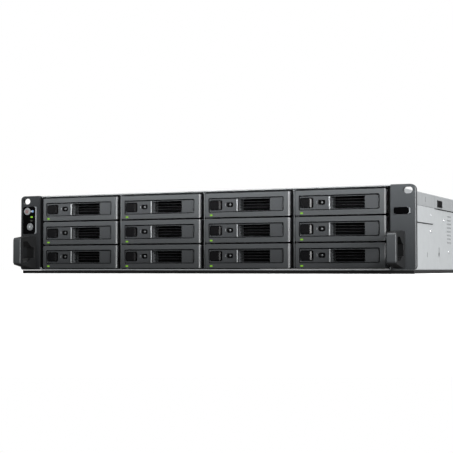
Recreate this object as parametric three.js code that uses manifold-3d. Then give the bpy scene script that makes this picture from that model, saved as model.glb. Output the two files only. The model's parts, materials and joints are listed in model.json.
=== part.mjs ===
// A two-unit rack storage server with twelve drive bays, in millimetres.
// X runs to the right as seen from the front, Y runs from front to back, and Z is up.
// Every piece is drawn from the front plane, which is the front face of the rack ears at y = 0.
// The exported group then moves the model back, so that the origin is the middle of the underside.

import * as THREE from "three";
import { mergeVertices } from "three/addons/utils/BufferGeometryUtils.js";
import Module from "manifold-3d";

const wasm = await Module();
wasm.setup();

// ---------------------------------------------------------------- driving dimensions

const CLEAR = 0.3; // gap between pieces that touch on the real unit
const NEEDLE = 0.004; // triangles thinner than this are merged away

const PANEL_WIDTH = 482; // over both rack ears
const UNIT_HEIGHT = 88; // two rack units
const BODY_WIDTH = 430; // over the cover's side flanges
const BODY_REAR = 668;
const HANDLE_REACH = 32; // how far the front handles stand out
const SUPPLY_REACH = 25; // how far the power supply handles stand out
const SHEET = 1.2; // steel sheet
const SEAM_Y = 180; // where the front cover meets the lid
const FLANGE_BOTTOM = 72.5; // lower edge of the covers' side flanges

const COLUMNS = 4;
const ROWS = 3;
const BAY_PITCH_X = 106.3;
const BAY_PITCH_Z = 27.9;
const BAY_BASE_Z = 1.6; // underside of the lowest bay

const BEZEL_WIDTH = 100.3;
const BEZEL_BOTTOM = 0.6; // above the bay's base
const BEZEL_TOP = 27.2;
const BEZEL_FRONT = 1;
const BEZEL_BACK = 15;
const BEZEL_ROUND = 5.6; // radius of the right-hand vertical edge
const TRAY_WIDTH = 102.8;
const TRAY_REAR = 176;
const TRAY_SHEET = 0.6;
const DRIVE = { width: 101.6, height: 26.1, length: 147 }; // 3.5 inch drive

const LEVER_GAP = 0.4; // round the lever in the bezel's recess
const RECESS = { left: -46.05, right: 43, bottom: 6, top: 21.9, depth: 10 };
const LEVER_SETBACK = 1; // lever face behind bezel face
const LEVER_THICK = 7.5;
const LEVER_HINGE_R = 1.4;
const AIR = { left: -4.55, right: 26.85, bottom: 9, top: 19 }; // the way in for air, behind the lever

const EAR_THICK = 4.5;
const EAR_CORNER = 6;
const RACK_SLOT = { x: 232.5, z: 81.8, width: 10, height: 7 };
const PLATE_DEPTH = 1.5; // depth of the pockets that hold the ear plates

const SUPPLY = { left: 135, width: 73.5, height: 40, length: 185, lower: 2.6, upper: 44.4 };
const FAN = { pitch: 135, size: 80, bore: 38, front: 215, depth: 38, centreZ: 43.5 };
const SOCKET_WINDOW = { left: -46, right: 104, bottom: 8.4, top: 25.6 };
const BOARD = { left: -205, right: 125, front: 300, rear: 664, bottom: 7.2, thick: 1.6 };

const WALL_OUT = BODY_WIDTH / 2 - SHEET; // outer face of the base's side walls
const WALL_IN = WALL_OUT - SHEET;
const BEZEL_LEFT = -BEZEL_WIDTH / 2;
const LEVER_FRONT = BEZEL_FRONT + LEVER_SETBACK;
const LEVER_BACK = LEVER_FRONT + LEVER_THICK;

// ---------------------------------------------------------------- materials

function finish(colour, roughness, metalness = 0) {
  return new THREE.MeshStandardMaterial({ color: colour, roughness, metalness });
}
const STEEL = finish(0xb9bec2, 0.45, 0.8);
const EAR_PLASTIC = finish(0x3a3d40, 0.5);
const BEZEL_PLASTIC = finish(0x54585b, 0.5);
const LEVER_PLASTIC = finish(0x4b4f52, 0.5);
const BLACK_PLASTIC = finish(0x151617, 0.4);
const GREY_KEY = finish(0x9a9da0, 0.4);
const GREEN_BOARD = finish(0x1d4a2c, 0.6);
const GREEN_LEVER = finish(0x1f7a3c, 0.45);

// ---------------------------------------------------------------- solids from three.js geometry

// A closed three.js geometry as a solid that can be joined and cut.
function solid(geometry) {
  const bare = geometry.index ? geometry.toNonIndexed() : geometry.clone();
  bare.deleteAttribute("normal");
  bare.deleteAttribute("uv");
  const merged = mergeVertices(bare, 1e-4);
  return new wasm.Manifold(
    new wasm.Mesh({
      numProp: 3,
      vertProperties: merged.attributes.position.array,
      triVerts: new Uint32Array(merged.index.array),
    }),
  );
}

// A solid as one named mesh, cleaned of the needle-thin triangles that joins leave behind.
function mesh(name, shape, material) {
  const made = shape.simplify(NEEDLE).getMesh();
  const geometry = new THREE.BufferGeometry();
  geometry.setAttribute("position", new THREE.BufferAttribute(made.vertProperties, 3));
  geometry.setIndex(new THREE.BufferAttribute(made.triVerts, 1));
  geometry.computeVertexNormals();
  const result = new THREE.Mesh(geometry, material);
  result.name = name;
  return result;
}

function box(x0, x1, y0, y1, z0, z1) {
  const geometry = new THREE.BoxGeometry(x1 - x0, y1 - y0, z1 - z0);
  geometry.translate((x0 + x1) / 2, (y0 + y1) / 2, (z0 + z1) / 2);
  return solid(geometry);
}

function extrude(shape, depth, curveSegments) {
  return new THREE.ExtrudeGeometry(shape, { depth, bevelEnabled: false, curveSegments });
}

// A shape drawn in X and Y, raised from z0 to z1.
function prismZ(shape, z0, z1, curveSegments = 6) {
  const geometry = extrude(shape, z1 - z0, curveSegments);
  geometry.translate(0, 0, z0);
  return solid(geometry);
}

// A shape drawn in X and Z, pushed back from y0 to y1.
function prismY(shape, y0, y1, curveSegments = 6) {
  const geometry = extrude(shape, y1 - y0, curveSegments);
  geometry.rotateX(Math.PI / 2);
  geometry.translate(0, y1, 0);
  return solid(geometry);
}

// A shape drawn in Y and Z, pushed across from x0 to x1.
function prismX(shape, x0, x1, curveSegments = 6) {
  const geometry = extrude(shape, x1 - x0, curveSegments);
  geometry.rotateY(Math.PI / 2);
  geometry.rotateX(Math.PI / 2);
  geometry.translate(x0, 0, 0);
  return solid(geometry);
}

function outline(points) {
  return new THREE.Shape(points.map(([a, b]) => new THREE.Vector2(a, b)));
}

// A rectangle with one radius at each corner: low-low, high-low, high-high, low-high.
function roundedRectangle(a0, a1, b0, b1, radii) {
  const [r0, r1, r2, r3] = Array.isArray(radii) ? radii : [radii, radii, radii, radii];
  const shape = new THREE.Shape();
  const quarter = Math.PI / 2;
  shape.moveTo(a0 + r0, b0);
  shape.lineTo(a1 - r1, b0);
  if (r1) shape.absarc(a1 - r1, b0 + r1, r1, -quarter, 0, false);
  shape.lineTo(a1, b1 - r2);
  if (r2) shape.absarc(a1 - r2, b1 - r2, r2, 0, quarter, false);
  shape.lineTo(a0 + r3, b1);
  if (r3) shape.absarc(a0 + r3, b1 - r3, r3, quarter, 2 * quarter, false);
  shape.lineTo(a0, b0 + r0);
  if (r0) shape.absarc(a0 + r0, b0 + r0, r0, 2 * quarter, 3 * quarter, false);
  return shape;
}

function disc(x, z, radius) {
  const shape = new THREE.Shape();
  shape.absarc(x, z, radius, 0, 2 * Math.PI, false);
  return shape;
}

function join(shapes) {
  return shapes.reduce((whole, next) => whole.add(next));
}

function cut(shape, tools) {
  return tools.reduce((left, tool) => left.subtract(tool), shape);
}

// ---------------------------------------------------------------- sheet metal

const THROUGH = 5; // how far a cutting tool runs past a sheet

// Floor, side walls and back wall, bent from one sheet. The back wall has windows for the power
// supplies and for the board's sockets.
function chassisBase() {
  const rear = BODY_REAR - SHEET;
  const wallFront = 8.5;
  const wallTop = UNIT_HEIGHT - SHEET - CLEAR;
  const supplyWindow = { margin: 2, bottom: 2.2, top: 85 };
  const wall = (side) => {
    const [x0, x1] = side < 0 ? [-WALL_OUT, -WALL_IN] : [WALL_IN, WALL_OUT];
    return box(x0, x1, wallFront, rear, 0, wallTop);
  };
  const floor = box(-WALL_OUT, WALL_OUT, BEZEL_FRONT + 1, rear, 0, SHEET);
  const halfWall = WALL_OUT - SHEET / 2;
  const back = box(-halfWall, halfWall, rear - SHEET, rear, SHEET / 2, wallTop - 1);
  const windows = [
    box(
      SUPPLY.left - supplyWindow.margin, SUPPLY.left + SUPPLY.width + supplyWindow.margin,
      rear - THROUGH, rear + THROUGH, supplyWindow.bottom, supplyWindow.top,
    ),
    box(
      SOCKET_WINDOW.left, SOCKET_WINDOW.right,
      rear - THROUGH, rear + THROUGH, SOCKET_WINDOW.bottom, SOCKET_WINDOW.top,
    ),
  ];
  return mesh("chassis_base", cut(join([floor, wall(-1), wall(1), back]), windows), STEEL);
}

function columnCentres() {
  return Array.from({ length: COLUMNS }, (_, column) => (column - (COLUMNS - 1) / 2) * BAY_PITCH_X);
}

// Roof, side plates, dividers with hemmed front edges, bay ledges and the rear wall.
function driveCage() {
  const front = 9;
  const rear = TRAY_REAR + 2;
  const overlap = 0.5; // how far the plates run into each other where they meet
  const roof = BAY_BASE_Z + ROWS * BAY_PITCH_Z + CLEAR;
  const roofThick = 0.8;
  const bottom = SHEET + CLEAR;
  const sideOut = WALL_IN - CLEAR;
  const sideIn = sideOut - 0.9;
  const plateTop = roof + overlap;
  const ledge = { halfWidth: 2.6, thick: 0.6, front: 20, back: rear + overlap };
  const ledgeEnd = BAY_PITCH_X * 2 - ledge.halfWidth;
  const divider = 0.6; // half thickness
  const hem = { half: 1.5, front: 5 }; // the divider's folded front edge
  const pieces = [
    box(-sideOut, sideOut, front, rear + overlap, roof, roof + roofThick),
    box(-sideOut, -sideIn, front, rear + overlap, bottom, plateTop),
    box(sideIn, sideOut, front, rear + overlap, bottom, plateTop),
    box(-sideOut, sideOut, rear, rear + SHEET, bottom, roof + roofThick),
  ];
  for (let d = 1; d < COLUMNS; d += 1) {
    const x = (d - COLUMNS / 2) * BAY_PITCH_X;
    pieces.push(box(x - divider, x + divider, hem.front + 1, rear + overlap, bottom, plateTop));
    pieces.push(box(x - hem.half, x + hem.half, hem.front, front + overlap, bottom, plateTop));
  }
  for (let row = 0; row < ROWS; row += 1) {
    const z = BAY_BASE_Z + row * BAY_PITCH_Z;
    const top = z + ledge.thick;
    for (let d = 1; d < COLUMNS; d += 1) {
      const x = (d - COLUMNS / 2) * BAY_PITCH_X;
      pieces.push(box(x - ledge.halfWidth, x + ledge.halfWidth, ledge.front, ledge.back, z, top));
    }
    pieces.push(box(-sideOut + overlap, -ledgeEnd, ledge.front, ledge.back, z, top));
    pieces.push(box(ledgeEnd, sideOut - overlap, ledge.front, ledge.back, z, top));
  }
  const air = { half: 44, bottom: 8, top: 78 };
  const windows = columnCentres().map((x) => box(
    x - air.half, x + air.half, rear - 1, rear + SHEET + 1, air.bottom, air.top,
  ));
  return mesh("drive_cage", cut(join(pieces), windows), STEEL);
}

// A cover's cross-section: a flat top and two side flanges.
function coverSection(y0, y1) {
  const out = BODY_WIDTH / 2;
  const flange = SHEET - CLEAR;
  const top = box(-out, out, y0, y1, UNIT_HEIGHT - SHEET, UNIT_HEIGHT);
  const left = box(-out, -out + flange, y0, y1, FLANGE_BOTTOM, UNIT_HEIGHT);
  const right = box(out - flange, out, y0, y1, FLANGE_BOTTOM, UNIT_HEIGHT);
  return join([top, left, right]);
}

function frontCover() {
  return mesh("front_cover", coverSection(EAR_THICK + CLEAR, SEAM_Y - CLEAR), STEEL);
}

const LATCH = { front: 191.7, length: 21.7, travel: 4, bottom: 74.2, top: 82.2 };

function rearLid() {
  const y0 = LATCH.front - CLEAR;
  const y1 = LATCH.front + LATCH.length + LATCH.travel + CLEAR;
  const window = box(-BODY_WIDTH, BODY_WIDTH, y0, y1, LATCH.bottom - CLEAR, LATCH.top + CLEAR);
  return mesh("rear_lid", coverSection(SEAM_Y + CLEAR, BODY_REAR).subtract(window), STEEL);
}

// Sliding latch in the lid's flange, with a finger rib.
function lidLatch(name, side) {
  const { front, length, bottom, top } = LATCH;
  const x = BODY_WIDTH / 2;
  const half = 0.8; // half thickness
  const rib = { half: 1.5, out: 1.8 };
  const middle = front + length / 2;
  const body = box(x - half, x + half, front, front + length, bottom, top);
  const ridge = box(x, x + rib.out, middle - rib.half, middle + rib.half, bottom + 1, top - 1);
  const whole = body.add(ridge);
  return mesh(name, side < 0 ? whole.mirror([1, 0, 0]) : whole, BLACK_PLASTIC);
}

// ---------------------------------------------------------------- rack ears

// The ear is drawn on the right and mirrored for the left.
function ear(name, side, pocket) {
  const inner = BODY_WIDTH / 2 - 0.9;
  const outer = PANEL_WIDTH / 2;
  const bottom = 0.5;
  const top = UNIT_HEIGHT;
  const lining = { inner: 211.2, front: 3, back: 8, bottom: bottom + SHEET, top: 86 };
  const bracket = { thick: 1, bottom: 53.7, top: FLANGE_BOTTOM - CLEAR };
  const overlap = 0.1;
  const face = prismY(
    roundedRectangle(inner, outer, bottom, top, [0, 4, EAR_CORNER, 0]), 0, EAR_THICK, 5,
  );
  const innerReturn = join([
    box(lining.inner, inner + overlap, lining.front, EAR_THICK, lining.bottom, lining.top),
    box(lining.inner, inner - CLEAR, lining.front, lining.back, lining.bottom, lining.top),
  ]);
  const arm = box(
    inner, inner + bracket.thick, EAR_THICK - overlap, SEAM_Y, bracket.bottom, bracket.top,
  );
  const half = RACK_SLOT.height / 2;
  const slot = roundedRectangle(
    RACK_SLOT.x - RACK_SLOT.width / 2, RACK_SLOT.x + RACK_SLOT.width / 2,
    RACK_SLOT.z - half, RACK_SLOT.z + half, half - 0.01,
  );
  const shape = cut(join([face, innerReturn, arm]), [
    prismY(slot, -1, EAR_THICK + 1, 4),
    box(pocket[0], pocket[1], -1, PLATE_DEPTH, pocket[2], pocket[3]),
  ]);
  return mesh(name, side < 0 ? shape.mirror([1, 0, 0]) : shape, EAR_PLASTIC);
}

const CONTROL = { left: 218.2, right: 237, bottom: 43.2, top: 75.3 }; // mirrored to the left ear
const BADGE = { left: 217.8, right: 235.2, bottom: 57.5, top: 64.3 };
const PLATE_OUT = 1.2; // how far the ear plates stand out

function plate(name, side, area, openings) {
  const { left, right, bottom, top } = area;
  const face = roundedRectangle(left, right, bottom, top, 1.5);
  const blank = prismY(face, -PLATE_OUT, PLATE_DEPTH - CLEAR, 3);
  const shape = cut(blank, openings);
  return mesh(name, side < 0 ? shape.mirror([1, 0, 0]) : shape, BLACK_PLASTIC);
}

function pocketFor({ left, right, bottom, top }) {
  return [left - CLEAR, right + CLEAR, bottom - CLEAR, top + CLEAR];
}

const POWER_KEY = { x: -230.9, z: 69.8, radius: 4.3 };
const MUTE_KEY = { x: -226.9, z: 51.4, radius: 4.3 };
const KEY_OUT = 0.5; // how far a key stands out of the control plate
const KEY_THICK = 1.2;
const KEY_WELL = 1.7; // depth of the hole that a key sits in

function key(name, { x, z, radius }) {
  const front = -PLATE_OUT - KEY_OUT;
  return mesh(name, prismY(disc(x, z, radius), front, front + KEY_THICK, 10), GREY_KEY);
}

function controlPlate() {
  const hole = ({ x, z, radius }) => prismY(
    disc(-x, z, radius + CLEAR), -PLATE_OUT - 1, -PLATE_OUT + KEY_WELL, 10,
  );
  return plate("control_panel", -1, CONTROL, [hole(POWER_KEY), hole(MUTE_KEY)]);
}

const HANDLE = { inner: 219, wide: 10, bottom: 2.6, top: 40 };

// D-shaped pull handle: a tapered block seen from the side, with a finger opening.
function handle(name, side) {
  const left = side < 0 ? -HANDLE.inner - HANDLE.wide : HANDLE.inner;
  const right = left + HANDLE.wide;
  const back = -CLEAR;
  const front = -HANDLE_REACH;
  const profile = outline([
    [back, HANDLE.bottom], [back, HANDLE.top], [-12, HANDLE.top], [front + 2, 37.5], [front, 35.5],
    [front, 8.5], [front + 2, 6.5], [-10, HANDLE.bottom],
  ].reverse());
  const opening = outline([
    [-26, 10.5], [-24.5, 9.2], [-17, 9.2], [-10.5, 14], [-4, 14.5],
    [-4, 27], [-9.5, 27.4], [-17.5, 33.8], [-24.5, 33.8], [-26, 32.5],
  ]);
  const grip = prismX(profile, left, right).subtract(prismX(opening, left - 1, right + 1));
  return mesh(name, grip, EAR_PLASTIC);
}

// ---------------------------------------------------------------- drive trays

// Bezel, sheet carrier and the drive screwed into it, at one bay.
function driveTray(name) {
  const plan = roundedRectangle(
    BEZEL_LEFT, -BEZEL_LEFT, BEZEL_FRONT, BEZEL_BACK, [1, BEZEL_ROUND, 0, 0],
  );
  const bezel = cut(prismZ(plan, BEZEL_BOTTOM, BEZEL_TOP, 4), [
    box(RECESS.left, RECESS.right, 0, BEZEL_FRONT + RECESS.depth, RECESS.bottom, RECESS.top),
    box(AIR.left, AIR.right, 0, BEZEL_BACK + 1, AIR.bottom, AIR.top),
  ]);
  const half = TRAY_WIDTH / 2;
  const floorZ = 0.9;
  const railTop = 14;
  const overlap = 0.1;
  const front = BEZEL_BACK - 1;
  const driveFront = TRAY_REAR - 1 - DRIVE.length;
  const inside = DRIVE.width / 2;
  const carrier = join([
    box(-half, half, front, TRAY_REAR, floorZ, floorZ + TRAY_SHEET),
    box(-half, -inside + overlap, front, TRAY_REAR, floorZ, railTop),
    box(inside - overlap, half, front, TRAY_REAR, floorZ, railTop),
  ]);
  const driveZ = floorZ + TRAY_SHEET;
  const drive = box(
    -inside, inside, driveFront, driveFront + DRIVE.length, driveZ - overlap, driveZ + DRIVE.height,
  );
  return mesh(name, join([bezel, carrier, drive]), BEZEL_PLASTIC);
}

const HINGE_X = RECESS.right - LEVER_GAP - LEVER_HINGE_R;
const HINGE_Y = LEVER_FRONT + LEVER_HINGE_R;
const BUTTON = { left: -44.5, right: -30.5, bottom: 9, top: 18.9, out: 0.2, deep: 4.3 };
const LOCK_WELL = { left: -24.3, right: -16.9, bottom: 11.2, top: 16.7, depth: 1.2 };
const AIR_SLOTS = [10.3, 13.3, 16.3]; // lower edges
const AIR_SLOT_HEIGHT = 1.7;

// Pull lever: plan with a round hinge end, a funnel for air and fingers, and three air slots.
function trayLever(name) {
  const left = RECESS.left + LEVER_GAP;
  const plan = new THREE.Shape();
  plan.moveTo(left, LEVER_FRONT);
  plan.lineTo(HINGE_X, LEVER_FRONT);
  plan.absarc(HINGE_X, HINGE_Y, LEVER_HINGE_R, -Math.PI / 2, Math.PI / 2, false);
  plan.lineTo(HINGE_X, LEVER_BACK);
  plan.lineTo(left + 0.8, LEVER_BACK);
  plan.lineTo(left, LEVER_BACK - 0.8);
  const bottom = RECESS.bottom + LEVER_GAP;
  const top = RECESS.top - LEVER_GAP;
  const ahead = LEVER_FRONT - 1;
  const deep = LEVER_FRONT + 4;
  const funnelLeft = AIR.left - 5.35;
  const rim = 0.7; // what is left of the lever above and below the funnel
  const funnelPlan = outline([
    [funnelLeft, ahead], [AIR.right, ahead], [AIR.right, deep], [AIR.left, deep],
  ]);
  const funnelSide = outline([
    [ahead, bottom - 0.2], [deep, AIR_SLOTS[0]], [deep, AIR_SLOTS[2] + AIR_SLOT_HEIGHT], [ahead, top + 0.2],
  ]);
  const funnel = prismZ(funnelPlan, bottom + rim, top - rim).intersect(
    prismX(funnelSide, funnelLeft - 1, AIR.right + 1),
  );
  const slots = AIR_SLOTS.map((z) => box(
    AIR.left, AIR.right, deep - 0.5, LEVER_BACK + 1, z, z + AIR_SLOT_HEIGHT,
  ));
  const buttonWell = box(
    BUTTON.left - CLEAR, BUTTON.right + CLEAR, 0, LEVER_BACK - SHEET,
    BUTTON.bottom - CLEAR, BUTTON.top + CLEAR,
  );
  const lockWell = box(
    LOCK_WELL.left, LOCK_WELL.right, 0, LEVER_FRONT + LOCK_WELL.depth, LOCK_WELL.bottom, LOCK_WELL.top,
  );
  const tools = [funnel, ...slots, buttonWell, lockWell];
  return mesh(name, cut(prismZ(plan, bottom, top, 4), tools), LEVER_PLASTIC);
}

function releaseButton(name) {
  const face = roundedRectangle(BUTTON.left, BUTTON.right, BUTTON.bottom, BUTTON.top, 1.6);
  const shape = prismY(face, LEVER_FRONT - BUTTON.out, LEVER_FRONT + BUTTON.deep, 2);
  return mesh(name, shape, BLACK_PLASTIC);
}

// Bays count from the top left, along each row.
function bays() {
  const group = new THREE.Group();
  for (let bay = 0; bay < COLUMNS * ROWS; bay += 1) {
    const column = bay % COLUMNS;
    const row = ROWS - 1 - Math.floor(bay / COLUMNS);
    const place = new THREE.Group();
    place.position.x = columnCentres()[column];
    place.position.z = BAY_BASE_Z + row * BAY_PITCH_Z;
    place.add(driveTray(`drive_tray_${bay + 1}`));
    place.add(trayLever(`tray_lever_${bay + 1}`));
    place.add(releaseButton(`release_button_${bay + 1}`));
    group.add(place);
  }
  return group;
}

// ---------------------------------------------------------------- inside

// Drive backplane with air windows and a drive connector for each bay.
function backplane() {
  const y0 = TRAY_REAR + 5;
  const half = 205;
  const air = { left: -42, right: 30, height: 14, bottoms: [21, 49] };
  const board = box(-half, half, y0, y0 + BOARD.thick, 5, 84);
  const windows = [];
  for (const x of columnCentres()) {
    for (const z of air.bottoms) {
      windows.push(box(x + air.left, x + air.right, y0 - 1, y0 + 3, z, z + air.height));
    }
  }
  return mesh("backplane", cut(board, windows), GREEN_BOARD);
}

// Frame that holds the three fans side by side.
function fanFrame() {
  const y1 = FAN.front + FAN.depth;
  const half = 206;
  const gap = { half: 18, bottom: 6, top: 81, wall: 3 }; // hollow between two fans, open behind
  const frame = box(-half, half, FAN.front, y1, SHEET + CLEAR, 85.2);
  const bores = [-1, 0, 1].map((i) => prismY(
    disc(i * FAN.pitch, FAN.centreZ, FAN.bore), FAN.front - 1, y1 + 1, 14,
  ));
  const gaps = [-0.5, 0.5].map((i) => box(
    i * FAN.pitch - gap.half, i * FAN.pitch + gap.half, FAN.front + gap.wall, y1 + 1, gap.bottom, gap.top,
  ));
  return mesh("fan_frame", cut(frame, [...bores, ...gaps]), BLACK_PLASTIC);
}

const ROTOR = { hub: 17, half: 14, blades: 7, reach: 21, chord: 22, thick: 1.8, pitch: 0.75, at: 26 };

// Hub with pitched blades, turning about Y.
function fanRotor(name, index) {
  const hub = prismY(disc(0, 0, ROTOR.hub), -ROTOR.half, ROTOR.half, 5);
  const blades = [];
  for (let i = 0; i < ROTOR.blades; i += 1) {
    const geometry = new THREE.BoxGeometry(ROTOR.reach, ROTOR.chord, ROTOR.thick);
    geometry.rotateX(ROTOR.pitch);
    geometry.translate(ROTOR.at, 0, 0);
    geometry.rotateY((i * 2 * Math.PI) / ROTOR.blades);
    blades.push(solid(geometry));
  }
  const rotor = mesh(name, join([hub, ...blades]), BLACK_PLASTIC);
  rotor.position.set(index * FAN.pitch, FAN.front + FAN.depth / 2, FAN.centreZ);
  return rotor;
}

const COOLER = {
  sinkLeft: -62, sinkRight: 24, sinkFront: 410, sinkRear: 490, height: 52, fins: 12, finThick: 1.1,
};
const POSTS = [[-195, 312], [-195, 650], [115, 312], [-30, 480]];
const SOCKET_FRONT = 646;

// The board's rear sockets: [left, width, height, [openings as x0, x1, z0, z1]].
const SOCKETS = [
  [-42, 15.5, 13.5, [[1.6, 13.9, 2, 11.5]]],
  [-20, 24, 12.5, [[1.5, 22.5, 2, 10.5]]],
  [12, 63, 13.5, [[1.5, 14, 2, 11.5], [17, 29.5, 2, 11.5], [32.5, 45, 2, 11.5], [48, 60.5, 2, 11.5]]],
  [84, 15, 15.8, [[1, 14, 1.5, 6.7], [1, 14, 9, 14.2]]],
];

// Board on four posts, with its sockets and the finned cooler that is screwed down on it.
function mainboard() {
  const { left, right, front, rear, bottom, thick } = BOARD;
  const top = bottom + thick;
  const pieces = [box(left, right, front, rear, bottom, top)];
  const cavities = [];
  for (const [x, width, height, openings] of SOCKETS) {
    pieces.push(box(x, x + width, SOCKET_FRONT, BODY_REAR - 0.2, top - 0.1, top + height));
    for (const [x0, x1, z0, z1] of openings) {
      cavities.push(box(x + x0, x + x1, SOCKET_FRONT + 7, BODY_REAR + 1, top + z0, top + z1));
    }
  }
  for (const [x, y] of POSTS) {
    pieces.push(box(x - 3, x + 3, y - 3, y + 3, SHEET + CLEAR, bottom + 0.1));
  }
  const { sinkLeft, sinkRight, sinkFront, sinkRear, fins } = COOLER;
  pieces.push(box(sinkLeft, sinkRight, sinkFront, sinkRear, top - 0.1, top + 8));
  const pitch = (sinkRight - sinkLeft - COOLER.finThick) / (fins - 1);
  for (let i = 0; i < fins; i += 1) {
    const x = sinkLeft + i * pitch;
    pieces.push(box(x, x + COOLER.finThick, sinkFront, sinkRear, top + 7, top + COOLER.height));
  }
  return mesh("mainboard", cut(join(pieces), cavities), GREEN_BOARD);
}

const SUPPLY_BACK = BODY_REAR - 1;
const SUPPLY_LATCH = { left: 1.5, wide: 3, top: -6, bottom: -12.5, out: 13, travel: 2.5 };

const INLET = { left: 33, right: 6, depth: 16, half: 9.5 }; // from the supply's right side and middle
const LOOP = { left: 4, right: 34, half: 2.5, bar: 4 }; // the pull handle, from the supply's left side

// Hot-swap power supply with a mains inlet, a pull handle and a slot for its release lever.
function powerSupply(name, z0) {
  const x0 = SUPPLY.left;
  const x1 = x0 + SUPPLY.width;
  const back = SUPPLY_BACK;
  const mid = z0 + SUPPLY.height / 2;
  const body = box(x0, x1, back - SUPPLY.length, back, z0, z0 + SUPPLY.height);
  const inlet = box(
    x1 - INLET.left, x1 - INLET.right, back - INLET.depth, back + 1, mid - INLET.half, mid + INLET.half,
  );
  const { left, wide, top, bottom, travel } = SUPPLY_LATCH;
  const slot = box(
    x0 + left - CLEAR, x0 + left + wide + travel + CLEAR, back - 9, back + 1,
    mid + bottom - CLEAR, mid + top + CLEAR,
  );
  const loopEnd = BODY_REAR + SUPPLY_REACH;
  const loop = box(x0 + LOOP.left, x0 + LOOP.right, back - 0.1, loopEnd, mid - LOOP.half, mid + LOOP.half)
    .subtract(box(
      x0 + LOOP.left + LOOP.bar, x0 + LOOP.right - LOOP.bar,
      back, loopEnd - LOOP.bar, mid - 2 * LOOP.half, mid + 2 * LOOP.half,
    ));
  return mesh(name, cut(body, [inlet, slot]).add(loop), STEEL);
}

// Thumb lever that frees the power supply when it is squeezed towards the handle.
function supplyLatch(name, z0) {
  const { left, wide, top, bottom, out } = SUPPLY_LATCH;
  const mid = z0 + SUPPLY.height / 2;
  const x = SUPPLY.left + left;
  const plan = roundedRectangle(x, x + wide, SUPPLY_BACK - 8.5, SUPPLY_BACK + out, [0, 0, 1.4, 1.4]);
  return mesh(name, prismZ(plan, mid + bottom, mid + top, 3), GREEN_LEVER);
}

// ---------------------------------------------------------------- the whole unit

const unit = new THREE.Group();
unit.add(
  chassisBase(),
  driveCage(),
  frontCover(),
  rearLid(),
  lidLatch("lid_latch_left", -1),
  lidLatch("lid_latch_right", 1),
  ear("left_ear", -1, pocketFor(CONTROL)),
  ear("right_ear", 1, pocketFor(BADGE)),
  handle("left_handle", -1),
  handle("right_handle", 1),
  controlPlate(),
  plate("name_plate", 1, BADGE, []),
  key("power_button", POWER_KEY),
  key("mute_button", MUTE_KEY),
  bays(),
  backplane(),
  fanFrame(),
  fanRotor("fan_rotor_left", -1),
  fanRotor("fan_rotor_middle", 0),
  fanRotor("fan_rotor_right", 1),
  mainboard(),
  powerSupply("power_supply_lower", SUPPLY.lower),
  powerSupply("power_supply_upper", SUPPLY.upper),
  supplyLatch("supply_latch_lower", SUPPLY.lower),
  supplyLatch("supply_latch_upper", SUPPLY.upper),
);

// The origin is the middle of the box round the whole unit, on its underside.
unit.position.y = (HANDLE_REACH - BODY_REAR - SUPPLY_REACH) / 2;

export default unit;
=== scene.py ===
import json
import math

import bmesh
import bpy
from mathutils import Matrix, Vector


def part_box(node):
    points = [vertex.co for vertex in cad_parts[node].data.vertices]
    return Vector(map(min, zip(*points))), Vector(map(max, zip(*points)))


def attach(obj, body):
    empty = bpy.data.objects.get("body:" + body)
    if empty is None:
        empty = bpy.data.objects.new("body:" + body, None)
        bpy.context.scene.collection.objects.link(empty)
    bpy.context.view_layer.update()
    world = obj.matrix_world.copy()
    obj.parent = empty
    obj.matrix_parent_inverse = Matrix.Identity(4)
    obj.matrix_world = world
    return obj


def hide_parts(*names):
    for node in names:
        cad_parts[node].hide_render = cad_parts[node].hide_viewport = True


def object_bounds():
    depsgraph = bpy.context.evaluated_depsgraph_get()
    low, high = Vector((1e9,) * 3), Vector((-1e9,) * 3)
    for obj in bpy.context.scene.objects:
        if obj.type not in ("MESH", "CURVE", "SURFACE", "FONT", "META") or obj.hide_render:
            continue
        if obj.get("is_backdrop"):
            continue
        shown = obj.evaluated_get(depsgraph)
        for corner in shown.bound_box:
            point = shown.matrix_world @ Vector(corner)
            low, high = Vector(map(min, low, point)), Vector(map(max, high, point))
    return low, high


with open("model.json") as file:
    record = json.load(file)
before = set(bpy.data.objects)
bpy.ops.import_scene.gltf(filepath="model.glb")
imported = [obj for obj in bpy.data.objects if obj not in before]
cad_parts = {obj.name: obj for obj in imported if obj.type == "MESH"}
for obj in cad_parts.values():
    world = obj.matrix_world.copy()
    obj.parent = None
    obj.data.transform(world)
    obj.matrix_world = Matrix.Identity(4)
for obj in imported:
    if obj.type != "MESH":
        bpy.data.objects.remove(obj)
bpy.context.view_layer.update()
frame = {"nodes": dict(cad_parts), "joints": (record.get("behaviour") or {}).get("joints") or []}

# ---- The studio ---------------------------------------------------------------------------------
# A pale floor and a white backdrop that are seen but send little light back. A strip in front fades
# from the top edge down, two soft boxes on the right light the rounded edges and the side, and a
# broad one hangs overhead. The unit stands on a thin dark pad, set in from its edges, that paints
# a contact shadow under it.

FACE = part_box("left_ear")[0].y  # the plane of the ears' front faces
scene = bpy.context.scene
scene.view_settings.view_transform = "Standard"


def seen_and_lit(tree, seen, lit, out):
    """What the camera sees directly, against what lights and reflections get."""
    which = tree.nodes.new("ShaderNodeMixShader")
    path = tree.nodes.new("ShaderNodeLightPath")
    tree.links.new(path.outputs["Is Camera Ray"], which.inputs["Fac"])
    tree.links.new(lit.outputs[0], which.inputs[1])
    tree.links.new(seen.outputs[0], which.inputs[2])
    tree.links.new(which.outputs[0], out.inputs["Surface"])


sky = bpy.data.worlds.new("white_sky")
scene.world = sky
sky.use_nodes = True
sky.node_tree.nodes.clear()
shades = []
for strength in (1.0, 0.10):
    shade = sky.node_tree.nodes.new("ShaderNodeBackground")
    shade.inputs["Color"].default_value = (1, 1, 1, 1)
    shade.inputs["Strength"].default_value = strength
    shades.append(shade)
seen_and_lit(sky.node_tree, *shades, sky.node_tree.nodes.new("ShaderNodeOutputWorld"))


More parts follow.
